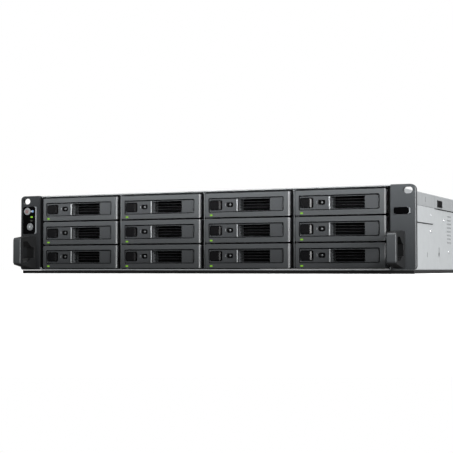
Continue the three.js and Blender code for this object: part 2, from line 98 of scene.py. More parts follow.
def soft_box(name, place, target, width, height, power, spread=180):
    light = bpy.data.lights.new(name, "AREA")
    light.shape = "RECTANGLE"
    light.size = width
    light.size_y = height
    light.energy = power
    light.spread = math.radians(spread)
    box = bpy.data.objects.new(name, light)
    box.location = place
    box.rotation_euler = (Vector(target) - Vector(place)).to_track_quat("-Z", "Y").to_euler()
    box.visible_camera = False
    scene.collection.objects.link(box)
    return box


front_strip = soft_box("front_strip", (-0.1, -1.9, 0.62), (-0.05, FACE, 0.130), 1.4, 0.10, 1.62, 8)
front_strip.visible_glossy = False
soft_box("edge_strip", (2.1, FACE - 0.86, 0.3), (0.1, FACE, 0.04), 0.7, 1.2, 66)
soft_box("right_box", (2.2, -0.55, 0.5), (0.2, -0.15, 0.04), 1.3, 1.0, 32)
soft_box("top_box", (0.1, 0.9, 2.4), (0, 0.2, 0), 3.2, 2.4, 110)

FLOOR_DROP = 0.0036
floor_mesh = bpy.data.meshes.new("floor")
floor_mesh.from_pydata([(-1.8, -2, 0), (1.8, -2, 0), (1.8, 1.6, 0), (-1.8, 1.6, 0)], [], [(0, 1, 2, 3)])
floor = bpy.data.objects.new("floor", floor_mesh)
floor.location.z = -FLOOR_DROP
scene.collection.objects.link(floor)
pale = bpy.data.materials.new("pale_floor")
pale.use_nodes = True
pale.node_tree.nodes.clear()
paints = []
for tone in (0.95, 0.12):
    paint = pale.node_tree.nodes.new("ShaderNodeBsdfDiffuse")
    paint.inputs["Color"].default_value = (tone, tone, tone, 1)
    paints.append(paint)
seen_and_lit(pale.node_tree, *paints, pale.node_tree.nodes.new("ShaderNodeOutputMaterial"))
floor_mesh.materials.append(pale)
floor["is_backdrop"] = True

PAD_WIDE = 0.238  # half its width under the ears, and under the body
PAD_NARROW = 0.2132
pad_front = FACE + 0.0012
pad_step = FACE + 0.004
pad_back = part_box("chassis_base")[1].y - 0.004
right_half = [(PAD_WIDE, pad_front), (PAD_WIDE, pad_step), (PAD_NARROW, pad_step), (PAD_NARROW, pad_back)]
pad_ring = right_half + [(-x, y) for x, y in reversed(right_half)]
sides = len(pad_ring)
pad_mesh = bpy.data.meshes.new("pad")
pad_mesh.from_pydata(
    [(x, y, z) for z in (-0.0001, -FLOOR_DROP) for x, y in pad_ring], [],
    [tuple(range(sides))]
    + [(i, i + sides, (i + 1) % sides + sides, (i + 1) % sides) for i in range(sides)],
)
pad = bpy.data.objects.new("pad", pad_mesh)
scene.collection.objects.link(pad)
# the pad's near-black is painted contact shadow under the unit
contact_shadow = bpy.data.materials.new("pad_painted_shadow")
contact_shadow.use_nodes = True
contact_shadow.node_tree.nodes["Principled BSDF"].inputs["Base Color"].default_value = (0.006, 0.006, 0.006, 1)
contact_shadow.node_tree.nodes["Principled BSDF"].inputs["Roughness"].default_value = 0.9
pad_mesh.materials.append(contact_shadow)
pad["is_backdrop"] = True

CAMERA_TURN = math.radians(24.7)  # from straight ahead, towards the left
CAMERA_RISE = math.radians(2.194)
camera_data = bpy.data.cameras.new("camera")
camera_data.sensor_width = 36
camera_data.lens = 88.5
camera_data.clip_start = 0.05
camera_data.clip_end = 60
camera = bpy.data.objects.new("camera", camera_data)
camera.location = (0.5374, FACE - 1.1042, 0.0012)
looking = Vector((-math.sin(CAMERA_TURN), math.cos(CAMERA_TURN), math.tan(CAMERA_RISE)))
camera.rotation_euler = looking.to_track_quat("-Z", "Y").to_euler()
scene.collection.objects.link(camera)
scene.camera = camera

# ---- Chassis base -------------------------------------------------------------------------------
# One zinc-coated steel sheet, folded up at both sides and the back. The walls are punched with air
# slots, keyholes for slide rails and screw holes; the back has windows for sockets and supplies.


def to_shape(mesh):
    shape = bmesh.new()
    shape.from_mesh(mesh)
    bpy.data.meshes.remove(mesh)
    return shape


def to_mesh(shape, name="shape"):
    mesh = bpy.data.meshes.new(name)
    shape.to_mesh(mesh)
    shape.free()
    return mesh


def moved(shape, offset=(0, 0, 0), turn=None):
    """Turns a shape about the origin if asked, then carries it to its place."""
    if turn:
        shape.transform(turn)
    shape.transform(Matrix.Translation(offset))
    return shape


def gathered(*shapes):
    """Several shapes as one piece."""
    whole = bmesh.new()
    for shape in shapes:
        mesh = to_mesh(shape)
        whole.from_mesh(mesh)
        bpy.data.meshes.remove(mesh)
    return whole


def copied(shape, places):
    """The same shape at every place, as one piece."""
    mesh = to_mesh(shape)
    whole = bmesh.new()
    for place in places:
        before = len(whole.verts)
        whole.from_mesh(mesh)
        whole.verts.ensure_lookup_table()
        bmesh.ops.translate(whole, verts=whole.verts[before:], vec=place)
    bpy.data.meshes.remove(mesh)
    return whole


def softened(shape, width, steps=2, sharper_than=35):
    """Breaks every edge that is sharper than the given angle."""
    bmesh.ops.dissolve_limit(
        shape, angle_limit=0.005, verts=shape.verts, edges=shape.edges, use_dissolve_boundaries=False
    )
    limit = math.radians(sharper_than)
    sharp = [
        edge for edge in shape.edges if len(edge.link_faces) == 2 and edge.calc_face_angle() > limit
    ]
    bmesh.ops.bevel(
        shape, geom=sharp, offset=width, offset_type="OFFSET", segments=steps, profile=0.5,
        affect="EDGES", clamp_overlap=True,
    )
    return shape


def block(x, y, z, edge=0.0, steps=2):
    """A rectangular solid between the given limits, with broken edges."""
    shape = bmesh.new()
    size = Matrix.Diagonal((x[1] - x[0], y[1] - y[0], z[1] - z[0], 1))
    middle = Matrix.Translation((sum(x) / 2, sum(y) / 2, sum(z) / 2))
    bmesh.ops.create_cube(shape, size=1, matrix=middle @ size)
    if edge:
        softened(shape, edge, steps)
    return shape


def rounded(a, b, radius=0.0, steps=5):
    """A rectangle with a radius at each corner: low-low, high-low, high-high, low-high."""
    radii = radius if isinstance(radius, tuple) else (radius,) * 4
    corners = [(a[0], b[0], 180), (a[1], b[0], 270), (a[1], b[1], 0), (a[0], b[1], 90)]
    inward = [(1, 1), (-1, 1), (-1, -1), (1, -1)]
    ring = []
    for (u, v, start), (su, sv), r in zip(corners, inward, radii):
        if not r:
            ring.append((u, v))
            continue
        for i in range(steps + 1):
            angle = math.radians(start + 90 * i / steps)
            ring.append((u + su * r + r * math.cos(angle), v + sv * r + r * math.sin(angle)))
    return ring


def circle(u, v, radius, steps=16):
    turn = [2 * math.pi * i / steps for i in range(steps)]
    return [(u + radius * math.cos(t), v + radius * math.sin(t)) for t in turn]


ALONG_Y = Matrix.Identity(4)
ALONG_X = Matrix(((0, 1, 0, 0), (1, 0, 0, 0), (0, 0, 1, 0), (0, 0, 0, 1)))  # drawn in Y and Z
ALONG_Z = Matrix(((1, 0, 0, 0), (0, 0, 1, 0), (0, 1, 0, 0), (0, 0, 0, 1)))  # drawn in X and Y


def slab(rings, span, along=ALONG_Y):
    """A plate filled between its outline and its holes, from span[0] to span[1] along an axis."""
    shape = bmesh.new()
    edges = []
    for ring in rings:
        corners = [shape.verts.new((u, span[0], v)) for u, v in ring]
        edges += [shape.edges.new(pair) for pair in zip(corners, corners[1:] + corners[:1])]
    bmesh.ops.triangle_fill(shape, edges=edges, use_beauty=True)
    grown = bmesh.ops.extrude_face_region(shape, geom=shape.faces[:])
    far = [part for part in grown["geom"] if isinstance(part, bmesh.types.BMVert)]
    bmesh.ops.translate(shape, verts=far, vec=(0, span[1] - span[0], 0))
    shape.transform(along)
    bmesh.ops.recalc_face_normals(shape, faces=shape.faces)
    bmesh.ops.dissolve_limit(shape, angle_limit=0.005, verts=shape.verts, edges=shape.edges)
    return shape


def carved(shape, cutter, operation="DIFFERENCE"):
    """A shape with another cut away from it, or what two shapes share."""
    body = bpy.data.objects.new("body", to_mesh(shape))
    tool = bpy.data.objects.new("tool", to_mesh(cutter))
    for thing in (body, tool):
        scene.collection.objects.link(thing)
    cut = body.modifiers.new("cut", "BOOLEAN")
    cut.operation = operation
    cut.solver = "EXACT"
    cut.use_self = operation == "DIFFERENCE"
    cut.object = tool
    graph = bpy.context.evaluated_depsgraph_get()
    result = bpy.data.meshes.new_from_object(body.evaluated_get(graph))
    for thing in (body, tool):
        mesh = thing.data
        bpy.data.objects.remove(thing)
        bpy.data.meshes.remove(mesh)
    done = to_shape(result)
    bmesh.ops.remove_doubles(done, verts=done.verts, dist=1e-6)
    return done


def turned(profile, steps=20, axis=ALONG_Y):
    """A lathe-turned solid round Y. The profile lists radius and distance, and ends on the axis."""
    shape = bmesh.new()
    rings = []
    for radius, along in profile:
        if radius == 0:
            rings.append([shape.verts.new((0, along, 0))])
            continue
        rings.append([shape.verts.new((u, along, v)) for u, v in circle(0, 0, radius, steps)])
    for near, far in zip(rings, rings[1:]):
        for i in range(steps):
            j = (i + 1) % steps
            corners = [near[i % len(near)], near[j % len(near)], far[j % len(far)], far[i % len(far)]]
            shape.faces.new(list(dict.fromkeys(corners)))
    bmesh.ops.recalc_face_normals(shape, faces=shape.faces)
    shape.transform(axis)
    return shape


def piece(name, shape, body, finish, stands_for=(), place=None):
    """Makes a named piece from a shape or a shared mesh, in its finish, riding on its body."""
    mesh = shape if isinstance(shape, bpy.types.Mesh) else to_mesh(shape, name)
    if not mesh.materials:
        mesh.materials.append(finish)
        mesh.shade_smooth()
        mesh.set_sharp_from_angle(angle=math.radians(33))
    made = bpy.data.objects.new(name, mesh)
    if place is not None:
        made.location = place
    scene.collection.objects.link(made)
    made.modifiers.new("flat_faces", "WEIGHTED_NORMAL").keep_sharp = True
    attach(made, body)
    if stands_for:
        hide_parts(*stands_for)
    return made


def new_finish(name, roughness, metallic=0.0):
    """An empty finish: its nodes, its links and its shader."""
    finish = bpy.data.materials.new(name)
    finish.use_nodes = True
    shader = finish.node_tree.nodes["Principled BSDF"]
    shader.inputs["Roughness"].default_value = roughness
    shader.inputs["Metallic"].default_value = metallic
    return finish, finish.node_tree.nodes, finish.node_tree.links, shader


def ramp_between(nodes, links, source, low, high, spread=(0.3, 0.7)):
    """Colours that run from low to high as a pattern's value goes across the spread."""
    ramp = nodes.new("ShaderNodeValToRGB")
    ramp.color_ramp.elements[0].position = spread[0]
    ramp.color_ramp.elements[0].color = (*low, 1)
    ramp.color_ramp.elements[1].position = spread[1]
    ramp.color_ramp.elements[1].color = (*high, 1)
    links.new(source, ramp.inputs["Fac"])
    return ramp


def pattern(nodes, links, kind, scale, stretch=(1, 1, 1), **settings):
    """A procedural pattern in the object's own metres."""
    where = nodes.new("ShaderNodeTexCoord")
    mapping = nodes.new("ShaderNodeMapping")
    mapping.inputs["Scale"].default_value = stretch
    texture = nodes.new(kind)
    texture.inputs["Scale"].default_value = scale
    for key, value in settings.items():
        texture.inputs[key].default_value = value
    links.new(where.outputs["Object"], mapping.inputs["Vector"])
    links.new(mapping.outputs["Vector"], texture.inputs["Vector"])
    return texture


def bumped(nodes, links, shader, height, depth, strength=1.0):
    """Raises the surface by a pattern, by the given depth in metres."""
    bump = nodes.new("ShaderNodeBump")
    bump.inputs["Strength"].default_value = strength
    bump.inputs["Distance"].default_value = depth
    links.new(height, bump.inputs["Height"])
    links.new(bump.outputs["Normal"], shader.inputs["Normal"])


def ranged(nodes, links, source, low, high, target):
    """Sends a pattern to a socket, between two values."""
    span = nodes.new("ShaderNodeMapRange")
    span.inputs["To Min"].default_value = low
    span.inputs["To Max"].default_value = high
    links.new(source, span.inputs["Value"])
    links.new(span.outputs["Result"], target)


def zinc_sheet(name, low, high, metallic=0.75, rough=(0.34, 0.5)):
    """Zinc-coated sheet: crystals of slightly different greys, rolled lines and a soft sheen."""
    finish, nodes, links, shader = new_finish(name, rough[0], metallic)
    crystals = pattern(nodes, links, "ShaderNodeTexVoronoi", 160)
    cloud = pattern(nodes, links, "ShaderNodeTexNoise", 22, Detail=5)
    ramp = ramp_between(nodes, links, crystals.outputs["Color"], low, high, (0.1, 0.9))
    links.new(ramp.outputs["Color"], shader.inputs["Base Color"])
    ranged(nodes, links, cloud.outputs["Fac"], rough[0], rough[1], shader.inputs["Roughness"])
    rolled = pattern(nodes, links, "ShaderNodeTexNoise", 900, (1, 0.06, 1), Detail=2)
    bumped(nodes, links, shader, rolled.outputs["Fac"], 0.00003, 0.25)
    return finish


ZINC = zinc_sheet("zinc_sheet", (0.45, 0.468, 0.478), (0.475, 0.493, 0.503), 0.35, (0.42, 0.5))

base_low, base_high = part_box("chassis_base")
SHEET = 0.0012
FLOOR_FRONT = base_low.y
WALL_FRONT = FACE + 0.0085
WALL_TOP = base_high.z
BEND = 0.0018

# the folded section: floor and both walls, with rounded bends
outer = rounded((base_low.x, base_high.x), (0, WALL_TOP + 0.02), (BEND, BEND, 0, 0), 4)
inner = rounded(
    (base_low.x + SHEET, base_high.x - SHEET), (SHEET, WALL_TOP + 0.03),
    (BEND - SHEET + 0.0002, BEND - SHEET + 0.0002, 0, 0), 3,
)
trough = slab([outer], (FLOOR_FRONT, base_high.y - SHEET))
hollow = slab([inner], (FLOOR_FRONT - 0.01, base_high.y + 0.01))
trough = carved(trough, hollow)
above = block((-0.3, 0.3), (-0.5, 0.5), (WALL_TOP, WALL_TOP + 0.06))
notch = block((-0.3, 0.3), (-0.5, WALL_FRONT), (0.0035, WALL_TOP + 0.01))
trough = carved(carved(trough, above), notch)

# what is punched through both side walls: distance behind the ears' face, and height
AIR_ROWS = 8
AIR_COLUMNS = 4
air_slots = [
    rounded((y, y + 0.0034), (z, z + 0.0021), 0.0009, 3)
    for y in [FACE + 0.2445 + 0.0052 * i for i in range(AIR_COLUMNS)]
    for z in [0.0322 + 0.00455 * i for i in range(AIR_ROWS)]
]
rail_slots = [
    rounded((FACE + y - 0.0009, FACE + y + 0.0009), (0.0145, 0.0205), 0.0008, 3)
    for y in (0.15, 0.395, 0.585)
]


def keyhole(y, z):
    """A round hole with a narrower slot above it."""
    wide, narrow, reach = 0.0031, 0.0014, 0.0072
    start = math.asin(narrow / wide)
    ring = []
    for i in range(13):
        angle = math.pi / 2 + start + (2 * math.pi - 2 * start) * i / 12
        ring.append((y + wide * math.cos(angle), z + wide * math.sin(angle)))
    for i in range(5):
        angle = math.pi * i / 4
        ring.append((y + narrow * math.cos(angle), z + reach + narrow * math.sin(angle)))
    return ring


keyholes = [keyhole(FACE + y, 0.0185) for y in (0.204, 0.43, 0.62)]
punches = gathered(
    *[slab([ring], (-0.3, 0.3), ALONG_X) for ring in air_slots + rail_slots + keyholes]
)
trough = carved(trough, punches)
piece("chassis_floor_and_walls", trough, "chassis", ZINC, ("chassis_base",))


def mirrored(shape):
    """The same shape on the other side of the unit."""
    shape.transform(Matrix.Diagonal((-1, 1, 1, 1)))
    bmesh.ops.reverse_faces(shape, faces=shape.faces)
    return shape


def moulded(name, colour, roughness, grain=1400, depth=0.00003, mottle=0.12, coat=0.0, shine=0.5):
    """Moulded plastic: a fine spark-eroded grain, slightly uneven in tone and in gloss."""
    finish, nodes, links, shader = new_finish(name, roughness)
    cloud = pattern(nodes, links, "ShaderNodeTexNoise", 35, Detail=6)
    dark = tuple(c * (1 - mottle) for c in colour)
    light = tuple(c * (1 + mottle) for c in colour)
    ramp = ramp_between(nodes, links, cloud.outputs["Fac"], dark, light)
    links.new(ramp.outputs["Color"], shader.inputs["Base Color"])
    pits = pattern(nodes, links, "ShaderNodeTexNoise", grain, Detail=3)
    bumped(nodes, links, shader, pits.outputs["Fac"], depth, 0.7)
    ranged(nodes, links, cloud.outputs["Fac"], roughness - 0.04, roughness + 0.05, shader.inputs["Roughness"])
    shader.inputs["Specular IOR Level"].default_value = shine
    shader.inputs["Coat Weight"].default_value = coat
    shader.inputs["Coat Roughness"].default_value = 0.08
    return finish


# a black sheet inside each side wall, behind what is punched through it: painted shade in the holes
HOLE_SHADE_BLACK = moulded("hole_shade_black", (0.006, 0.006, 0.0065), 0.5)
SHADE_SHEET_X = (0.21235, 0.21255)
shade_sheet = slab([rounded((FACE + 0.142, FACE + 0.655), (0.006, 0.070), 0.002, 3)], SHADE_SHEET_X, ALONG_X)
piece("wall_hole_shades", gathered(shade_sheet, mirrored(shade_sheet.copy())), "chassis", HOLE_SHADE_BLACK)

# rear wall, behind the board and the supplies
BACK = base_high.y
supply_low, supply_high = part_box("power_supply_lower")
SOCKETS_ACROSS = (-0.046, 0.104)
CARD_LEFT = -0.198
CARD_PITCH = 0.0203
CARDS = 4
half_wall = base_high.x - SHEET - 0.0002
rear_outline = rounded((-half_wall, half_wall), (0.0002 + SHEET, WALL_TOP), 0.0004, 2)
supply_window = rounded((supply_low.x - 0.002, supply_high.x + 0.002), (0.0022, 0.085), 0.001, 3)
socket_window = rounded(SOCKETS_ACROSS, (0.0084, 0.0256), 0.001, 3)
card_windows = [
    rounded((x, x + 0.0125), (0.012, 0.076), 0.001, 3)
    for x in [CARD_LEFT + CARD_PITCH * i for i in range(CARDS)]
]
rear_air = [
    circle(-0.1 + 0.0052 * i + 0.0026 * (j % 2), 0.0325 + 0.0046 * j, 0.0019, 6)
    for j in range(11)
    for i in range(42 - j % 2)
]
rear_wall = slab(
    [rear_outline, supply_window, socket_window, *card_windows, *rear_air],
    (BACK - 2 * SHEET + 0.0011, BACK),
)
piece("rear_wall", rear_wall, "chassis", ZINC)


def pan_screw(radius, height):
    """A pan-head screw with a cross recess, its head out along -Y from y = 0."""
    rim = 0.25 * height
    head = turned(
        [(0, 0), (radius, 0), (radius, -rim), (radius * 0.86, -height * 0.8),
         (radius * 0.5, -height), (0, -height)], 14,
    )
    arm = radius * 0.62
    width = radius * 0.13
    cross = gathered(
        block((-arm, arm), (-height * 1.5, -height * 0.45), (-width, width)),
        block((-width, width), (-height * 1.5, -height * 0.45), (-arm, arm)),
    )
    return carved(head, cross)


def bright_metal(name, tone, roughness):
    """Plated small parts, with fine turning marks."""
    finish, nodes, links, shader = new_finish(name, roughness, 1.0)
    marks = pattern(nodes, links, "ShaderNodeTexNoise", 1800, Detail=3)
    ramp = ramp_between(nodes, links, marks.outputs["Fac"], tuple(0.85 * c for c in tone), tone)
    links.new(ramp.outputs["Color"], shader.inputs["Base Color"])
    ranged(nodes, links, marks.outputs["Fac"], roughness, roughness + 0.15, shader.inputs["Roughness"])
    return finish


PLATED = bright_metal("plated_screws", (0.66, 0.67, 0.68), 0.25)
OUT_RIGHT = Matrix.Rotation(math.radians(90), 4, "Z")  # heads out along +X
OUT_LEFT = Matrix.Rotation(math.radians(-90), 4, "Z")
OUT_BACK = Matrix.Rotation(math.pi, 4, "Z")
OUT_UP = Matrix.Rotation(math.radians(-90), 4, "X")
WALL_SCREWS = [(0.166, 0.045), (0.229, 0.060), (0.253, 0.022), (0.36, 0.05), (0.49, 0.05), (0.64, 0.05)]
for side, turn, x in (("right", OUT_RIGHT, base_high.x), ("left", OUT_LEFT, base_low.x)):
    heads = copied(
        moved(pan_screw(0.0019, 0.0007), turn=turn),
        [(x, FACE + y, z) for y, z in WALL_SCREWS],
    )
    piece(f"wall_screws_{side}", heads, "chassis", PLATED)
rear_screws = copied(
    moved(pan_screw(0.0026, 0.0013), turn=OUT_BACK),
    [(x, BACK, z) for x, z in ((-0.205, 0.008), (-0.205, 0.07), (0.122, 0.012), (0.122, 0.076))],
)
piece("rear_wall_screws", rear_screws, "chassis", PLATED)

# card slot covers: plates with rows of slots, one over each card window
cover_plate = slab(
    [rounded((-0.0088, 0.0088), (0.009, 0.0795), 0.0012, 3)]
    + [rounded((-0.0052, 0.0052), (0.018 + 0.0046 * i, 0.0202 + 0.0046 * i), 0.0009, 3) for i in range(12)],
    (BACK - 2 * SHEET - 0.0002, BACK - SHEET - 0.0002),
)
cover_plate = copied(
    cover_plate, [(CARD_LEFT + 0.00625 + CARD_PITCH * i, 0.0009 - SHEET, 0) for i in range(CARDS)]
)
piece("card_slot_covers", cover_plate, "chassis", PLATED)

# ---- Drive cage ---------------------------------------------------------------------------------
# Spot-welded zinc-coated steel: a roof, side plates and three dividers whose front edges are folded
# over, with bay ledges between. The folded edges show as light lines between the columns.


def dressed_node(node, finish, edge=0.00015):
    """A structural part kept as it is, with its finish and with its edges broken."""
    part = frame["nodes"][node]
    part.data.materials.clear()
    part.data.materials.append(finish)
    weld = part.modifiers.new("weld", "WELD")
    weld.merge_threshold = 0.00001
    if edge:
        broken = part.modifiers.new("edge", "BEVEL")
        broken.width = edge
        broken.segments = 2
        broken.limit_method = "ANGLE"
        broken.angle_limit = math.radians(40)
    return part


# the cage's zinc is a darker copy of the walls' zinc: painted shade in the bays and the gaps between the
# columns
CAGE_ZINC_SHADED = zinc_sheet("cage_zinc_painted_shade", (0.18, 0.19, 0.197), (0.22, 0.232, 0.24), 0.4, (0.42, 0.5))
dressed_node("drive_cage", CAGE_ZINC_SHADED, 0.0003)

# black strips over each divider's folded edge but for a narrow line: painted shade in the gaps between the
# columns
cage_low, cage_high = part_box("drive_cage")
SHADE_BLACK = moulded("painted_shade_black", (0.003, 0.003, 0.0034), 0.6, shine=0.2)
BAY_PITCH = 0.1063
shade_strip = gathered(*[
    block(x, (cage_low.y - 0.0004, cage_low.y + 0.0016), (cage_low.z + 0.0005, cage_high.z - 0.001), 0.0001)
    for x in ((-0.0017, -0.0002), (0.0011, 0.0017))
])
shade_strips = copied(shade_strip, [(BAY_PITCH * i, 0, 0) for i in (-1, 0, 1)])
piece("divider_shade_strips", shade_strips, "chassis", SHADE_BLACK)

# ---- Drive backplane ----------------------------------------------------------------------------
# A green circuit board across the back of the cage, with windows that let air through. Each bay
# plugs into its own black socket.


def circuit_board(name, low, high):
    """Solder mask over copper: tracks show as fine lighter lines on a board."""
    finish, nodes, links, shader = new_finish(name, 0.35)
    tracks = pattern(nodes, links, "ShaderNodeTexBrick", 90)
    tracks.inputs["Mortar Size"].default_value = 0.03
    tracks.inputs["Color1"].default_value = (*low, 1)
    tracks.inputs["Color2"].default_value = (*[c * 1.15 for c in low], 1)
    tracks.inputs["Mortar"].default_value = (*high, 1)
    links.new(tracks.outputs["Color"], shader.inputs["Base Color"])
    weave = pattern(nodes, links, "ShaderNodeTexNoise", 1200, Detail=2)
    bumped(nodes, links, shader, weave.outputs["Fac"], 0.00003, 0.4)
    shader.inputs["Coat Weight"].default_value = 0.3
    return finish


BOARD_GREEN = circuit_board("board_green", (0.012, 0.075, 0.032), (0.05, 0.17, 0.08))
SOCKET_BLACK = moulded("socket_black", (0.012, 0.012, 0.013), 0.45)
dressed_node("backplane", BOARD_GREEN, 0)
board_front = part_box("backplane")[0].y
BAYS = 12
tray_boxes = [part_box(f"drive_tray_{n}") for n in range(1, BAYS + 1)]
socket_places = [((low.x + high.x) / 2 + 0.037, board_front, low.z + 0.008) for low, high in tray_boxes]
plug_body = block((-0.0165, 0.0165), (-0.0028, 0), (-0.003, 0.003), 0.0004)
plug_blade = block((-0.0145, 0.0145), (-0.0042, -0.0026), (-0.0007, 0.0007), 0.0002)
piece(
    "drive_sockets", copied(gathered(plug_body, plug_blade), socket_places),
    "chassis", SOCKET_BLACK,
)

# ---- Fans ---------------------------------------------------------------------------------------
# Three 80 mm fans side by side in a black plastic frame. Each rotor has a round hub and seven
# curved blades; a wire guard covers it behind.

FAN_BLACK = moulded("fan_black", (0.018, 0.019, 0.02), 0.42)
dressed_node("fan_frame", FAN_BLACK, 0.0004)
BLADES = 7


def fan_blade(hub, tip):
    """One blade: a thin curved sheet, twisted from hub to tip."""
    across, along = 8, 6
    thick = 0.0012
    shape = bmesh.new()
    grid = {}
    for side in (0, 1):
        for i in range(across + 1):
            radius = hub + (tip - hub) * i / across
            pitch = math.radians(52 - 22 * i / across)
            for j in range(along + 1):
                t = j / along - 0.5
                chord = 0.024 * t
                swept = 0.25 * (radius - hub) * 12 * (radius - hub)
                across_blade = chord * math.cos(pitch) + swept
                depth = chord * math.sin(pitch) + 0.0035 * (1 - 4 * t * t) + (side - 0.5) * thick
                angle = across_blade / radius
                grid[side, i, j] = shape.verts.new(
                    (radius * math.cos(angle), depth, radius * math.sin(angle))
                )
    for i in range(across):
        for j in range(along):
            for side in (0, 1):
                shape.faces.new([grid[side, i + a, j + b] for a, b in ((0, 0), (1, 0), (1, 1), (0, 1))])
    rim = [(i, 0) for i in range(across)] + [(across, j) for j in range(along)]
    rim += [(i, along) for i in range(across, 0, -1)] + [(0, j) for j in range(along, 0, -1)]
    for (i, j), (k, m) in zip(rim, rim[1:] + rim[:1]):
        shape.faces.new([grid[0, i, j], grid[0, k, m], grid[1, k, m], grid[1, i, j]])
    bmesh.ops.recalc_face_normals(shape, faces=shape.faces)
    return shape


def fan_wheel():
    hub = turned(
        [(0, -0.0135), (0.0155, -0.0135), (0.017, -0.012), (0.017, 0.0125), (0.0155, 0.014),
         (0.006, 0.014), (0.006, 0.0125), (0, 0.0125)], 40,
    )
    blades = [
        moved(fan_blade(0.0165, 0.0362), turn=Matrix.Rotation(2 * math.pi * i / BLADES, 4, "Y"))
        for i in range(BLADES)
    ]
    return gathered(hub, *blades)


def wire_ring(radius, wire, steps=48):
    """A closed ring of wire round the Y axis."""
    section = [(radius + wire * math.cos(t), wire * math.sin(t)) for t in [math.pi * i / 4 for i in range(8)]]
    shape = bmesh.new()
    rings = [
        [shape.verts.new((r * math.cos(a), y, r * math.sin(a))) for r, y in section]
        for a in [2 * math.pi * i / steps for i in range(steps)]
    ]
    for near, far in zip(rings, rings[1:] + rings[:1]):
        for i in range(8):
            j = (i + 1) % 8
            shape.faces.new((near[i], near[j], far[j], far[i]))
    bmesh.ops.recalc_face_normals(shape, faces=shape.faces)
    return shape


def fan_guard():
    rings = [wire_ring(r, 0.0006) for r in (0.012, 0.019, 0.026, 0.033, 0.040)]
    arms = [
        moved(block((0.0115, 0.0445), (0.0004, 0.0016), (-0.0006, 0.0006), 0.0003),
              turn=Matrix.Rotation(math.radians(45 + 90 * i), 4, "Y"))
        for i in range(4)
    ]
    return gathered(*rings, *arms)


wheel_mesh = to_mesh(fan_wheel(), "fan_wheel")
guard_mesh = to_mesh(fan_guard(), "fan_guard")
frame_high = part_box("fan_frame")[1]
for seat in ("left", "middle", "right"):
    middle = Vector(next(j for j in frame["joints"] if j["name"] == f"fan_{seat}_spin")["pos_m"])
    piece(f"fan_wheel_{seat}", wheel_mesh, f"fan_{seat}", FAN_BLACK,
          (f"fan_rotor_{seat}",), middle)
    piece(f"fan_guard_{seat}", guard_mesh, "chassis", PLATED,
          place=(middle.x, frame_high.y + 0.0006, middle.z))

# ---- Main board ---------------------------------------------------------------------------------
# A green circuit board on posts. It carries a finned aluminium cooler, four upright memory modules,
# the chips and capacitors of its supply, and the row of sockets that shows through the rear wall.

plate_low, plate_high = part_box("mainboard")
BOARD_TOP = 0.0088
BOARD_THICK = 0.0016
BOARD_LEFT, BOARD_RIGHT = plate_low.x, plate_high.x
BOARD_FRONT = plate_low.y
BOARD_REAR = FACE + 0.664
board = slab(
    [rounded((BOARD_LEFT, BOARD_RIGHT), (BOARD_FRONT, BOARD_REAR), 0.003, 4)]
    + [circle(x, FACE + y, 0.0018, 12) for x, y in ((-0.195, 0.312), (-0.195, 0.65), (0.115, 0.312))],
    (BOARD_TOP - BOARD_THICK, BOARD_TOP), ALONG_Z,
)
piece("main_board", board, "chassis", BOARD_GREEN, ("mainboard",))
posts = copied(
    moved(turned([(0, 0), (0.003, 0), (0.003, 0.0056), (0, 0.0056)], 6, ALONG_Z), (0, 0, 0.0015)),
    [(-0.195, FACE + 0.312, 0), (-0.195, FACE + 0.65, 0), (0.115, FACE + 0.312, 0), (-0.03, FACE + 0.48, 0)],
)
piece("board_posts", posts, "chassis", PLATED)

COOLER = {"x": (-0.062, 0.024), "y": (FACE + 0.410, FACE + 0.490), "top": 0.0608, "fins": 30}
fin_pitch = (COOLER["x"][1] - COOLER["x"][0] - 0.0004) / (COOLER["fins"] - 1)
cooler_base = block(COOLER["x"], COOLER["y"], (BOARD_TOP + 0.0015, BOARD_TOP + 0.008), 0.0005)
fin = block((0, 0.0004), COOLER["y"], (BOARD_TOP + 0.0079, COOLER["top"]))
fins = copied(fin, [(COOLER["x"][0] + fin_pitch * i, 0, 0) for i in range(COOLER["fins"])])
CAST_METAL = bright_metal("bare_aluminium", (0.72, 0.73, 0.74), 0.32)
piece("cooler", gathered(cooler_base, fins), "chassis", CAST_METAL)

MODULES = [0.040, 0.050, 0.060, 0.070]
module_board = slab(
    [rounded((FACE + 0.385, FACE + 0.518), (BOARD_TOP + 0.003, BOARD_TOP + 0.033), 0.0012, 2)],
    (-0.0006, 0.0006), ALONG_X,
)
piece("memory_boards", copied(module_board, [(x, 0, 0) for x in MODULES]), "chassis", BOARD_GREEN)
memory_chip = gathered(*[
    block((0.0007, 0.0017), (FACE + 0.392 + 0.0152 * i, FACE + 0.403 + 0.0152 * i),
          (BOARD_TOP + 0.012, BOARD_TOP + 0.025), 0.0002)
    for i in range(8)
])
holder = block((-0.003, 0.003), (FACE + 0.380, FACE + 0.523), (BOARD_TOP, BOARD_TOP + 0.008), 0.0004)
piece("memory_holders", copied(gathered(memory_chip, holder), [(x, 0, 0) for x in MODULES]),
      "chassis", SOCKET_BLACK)

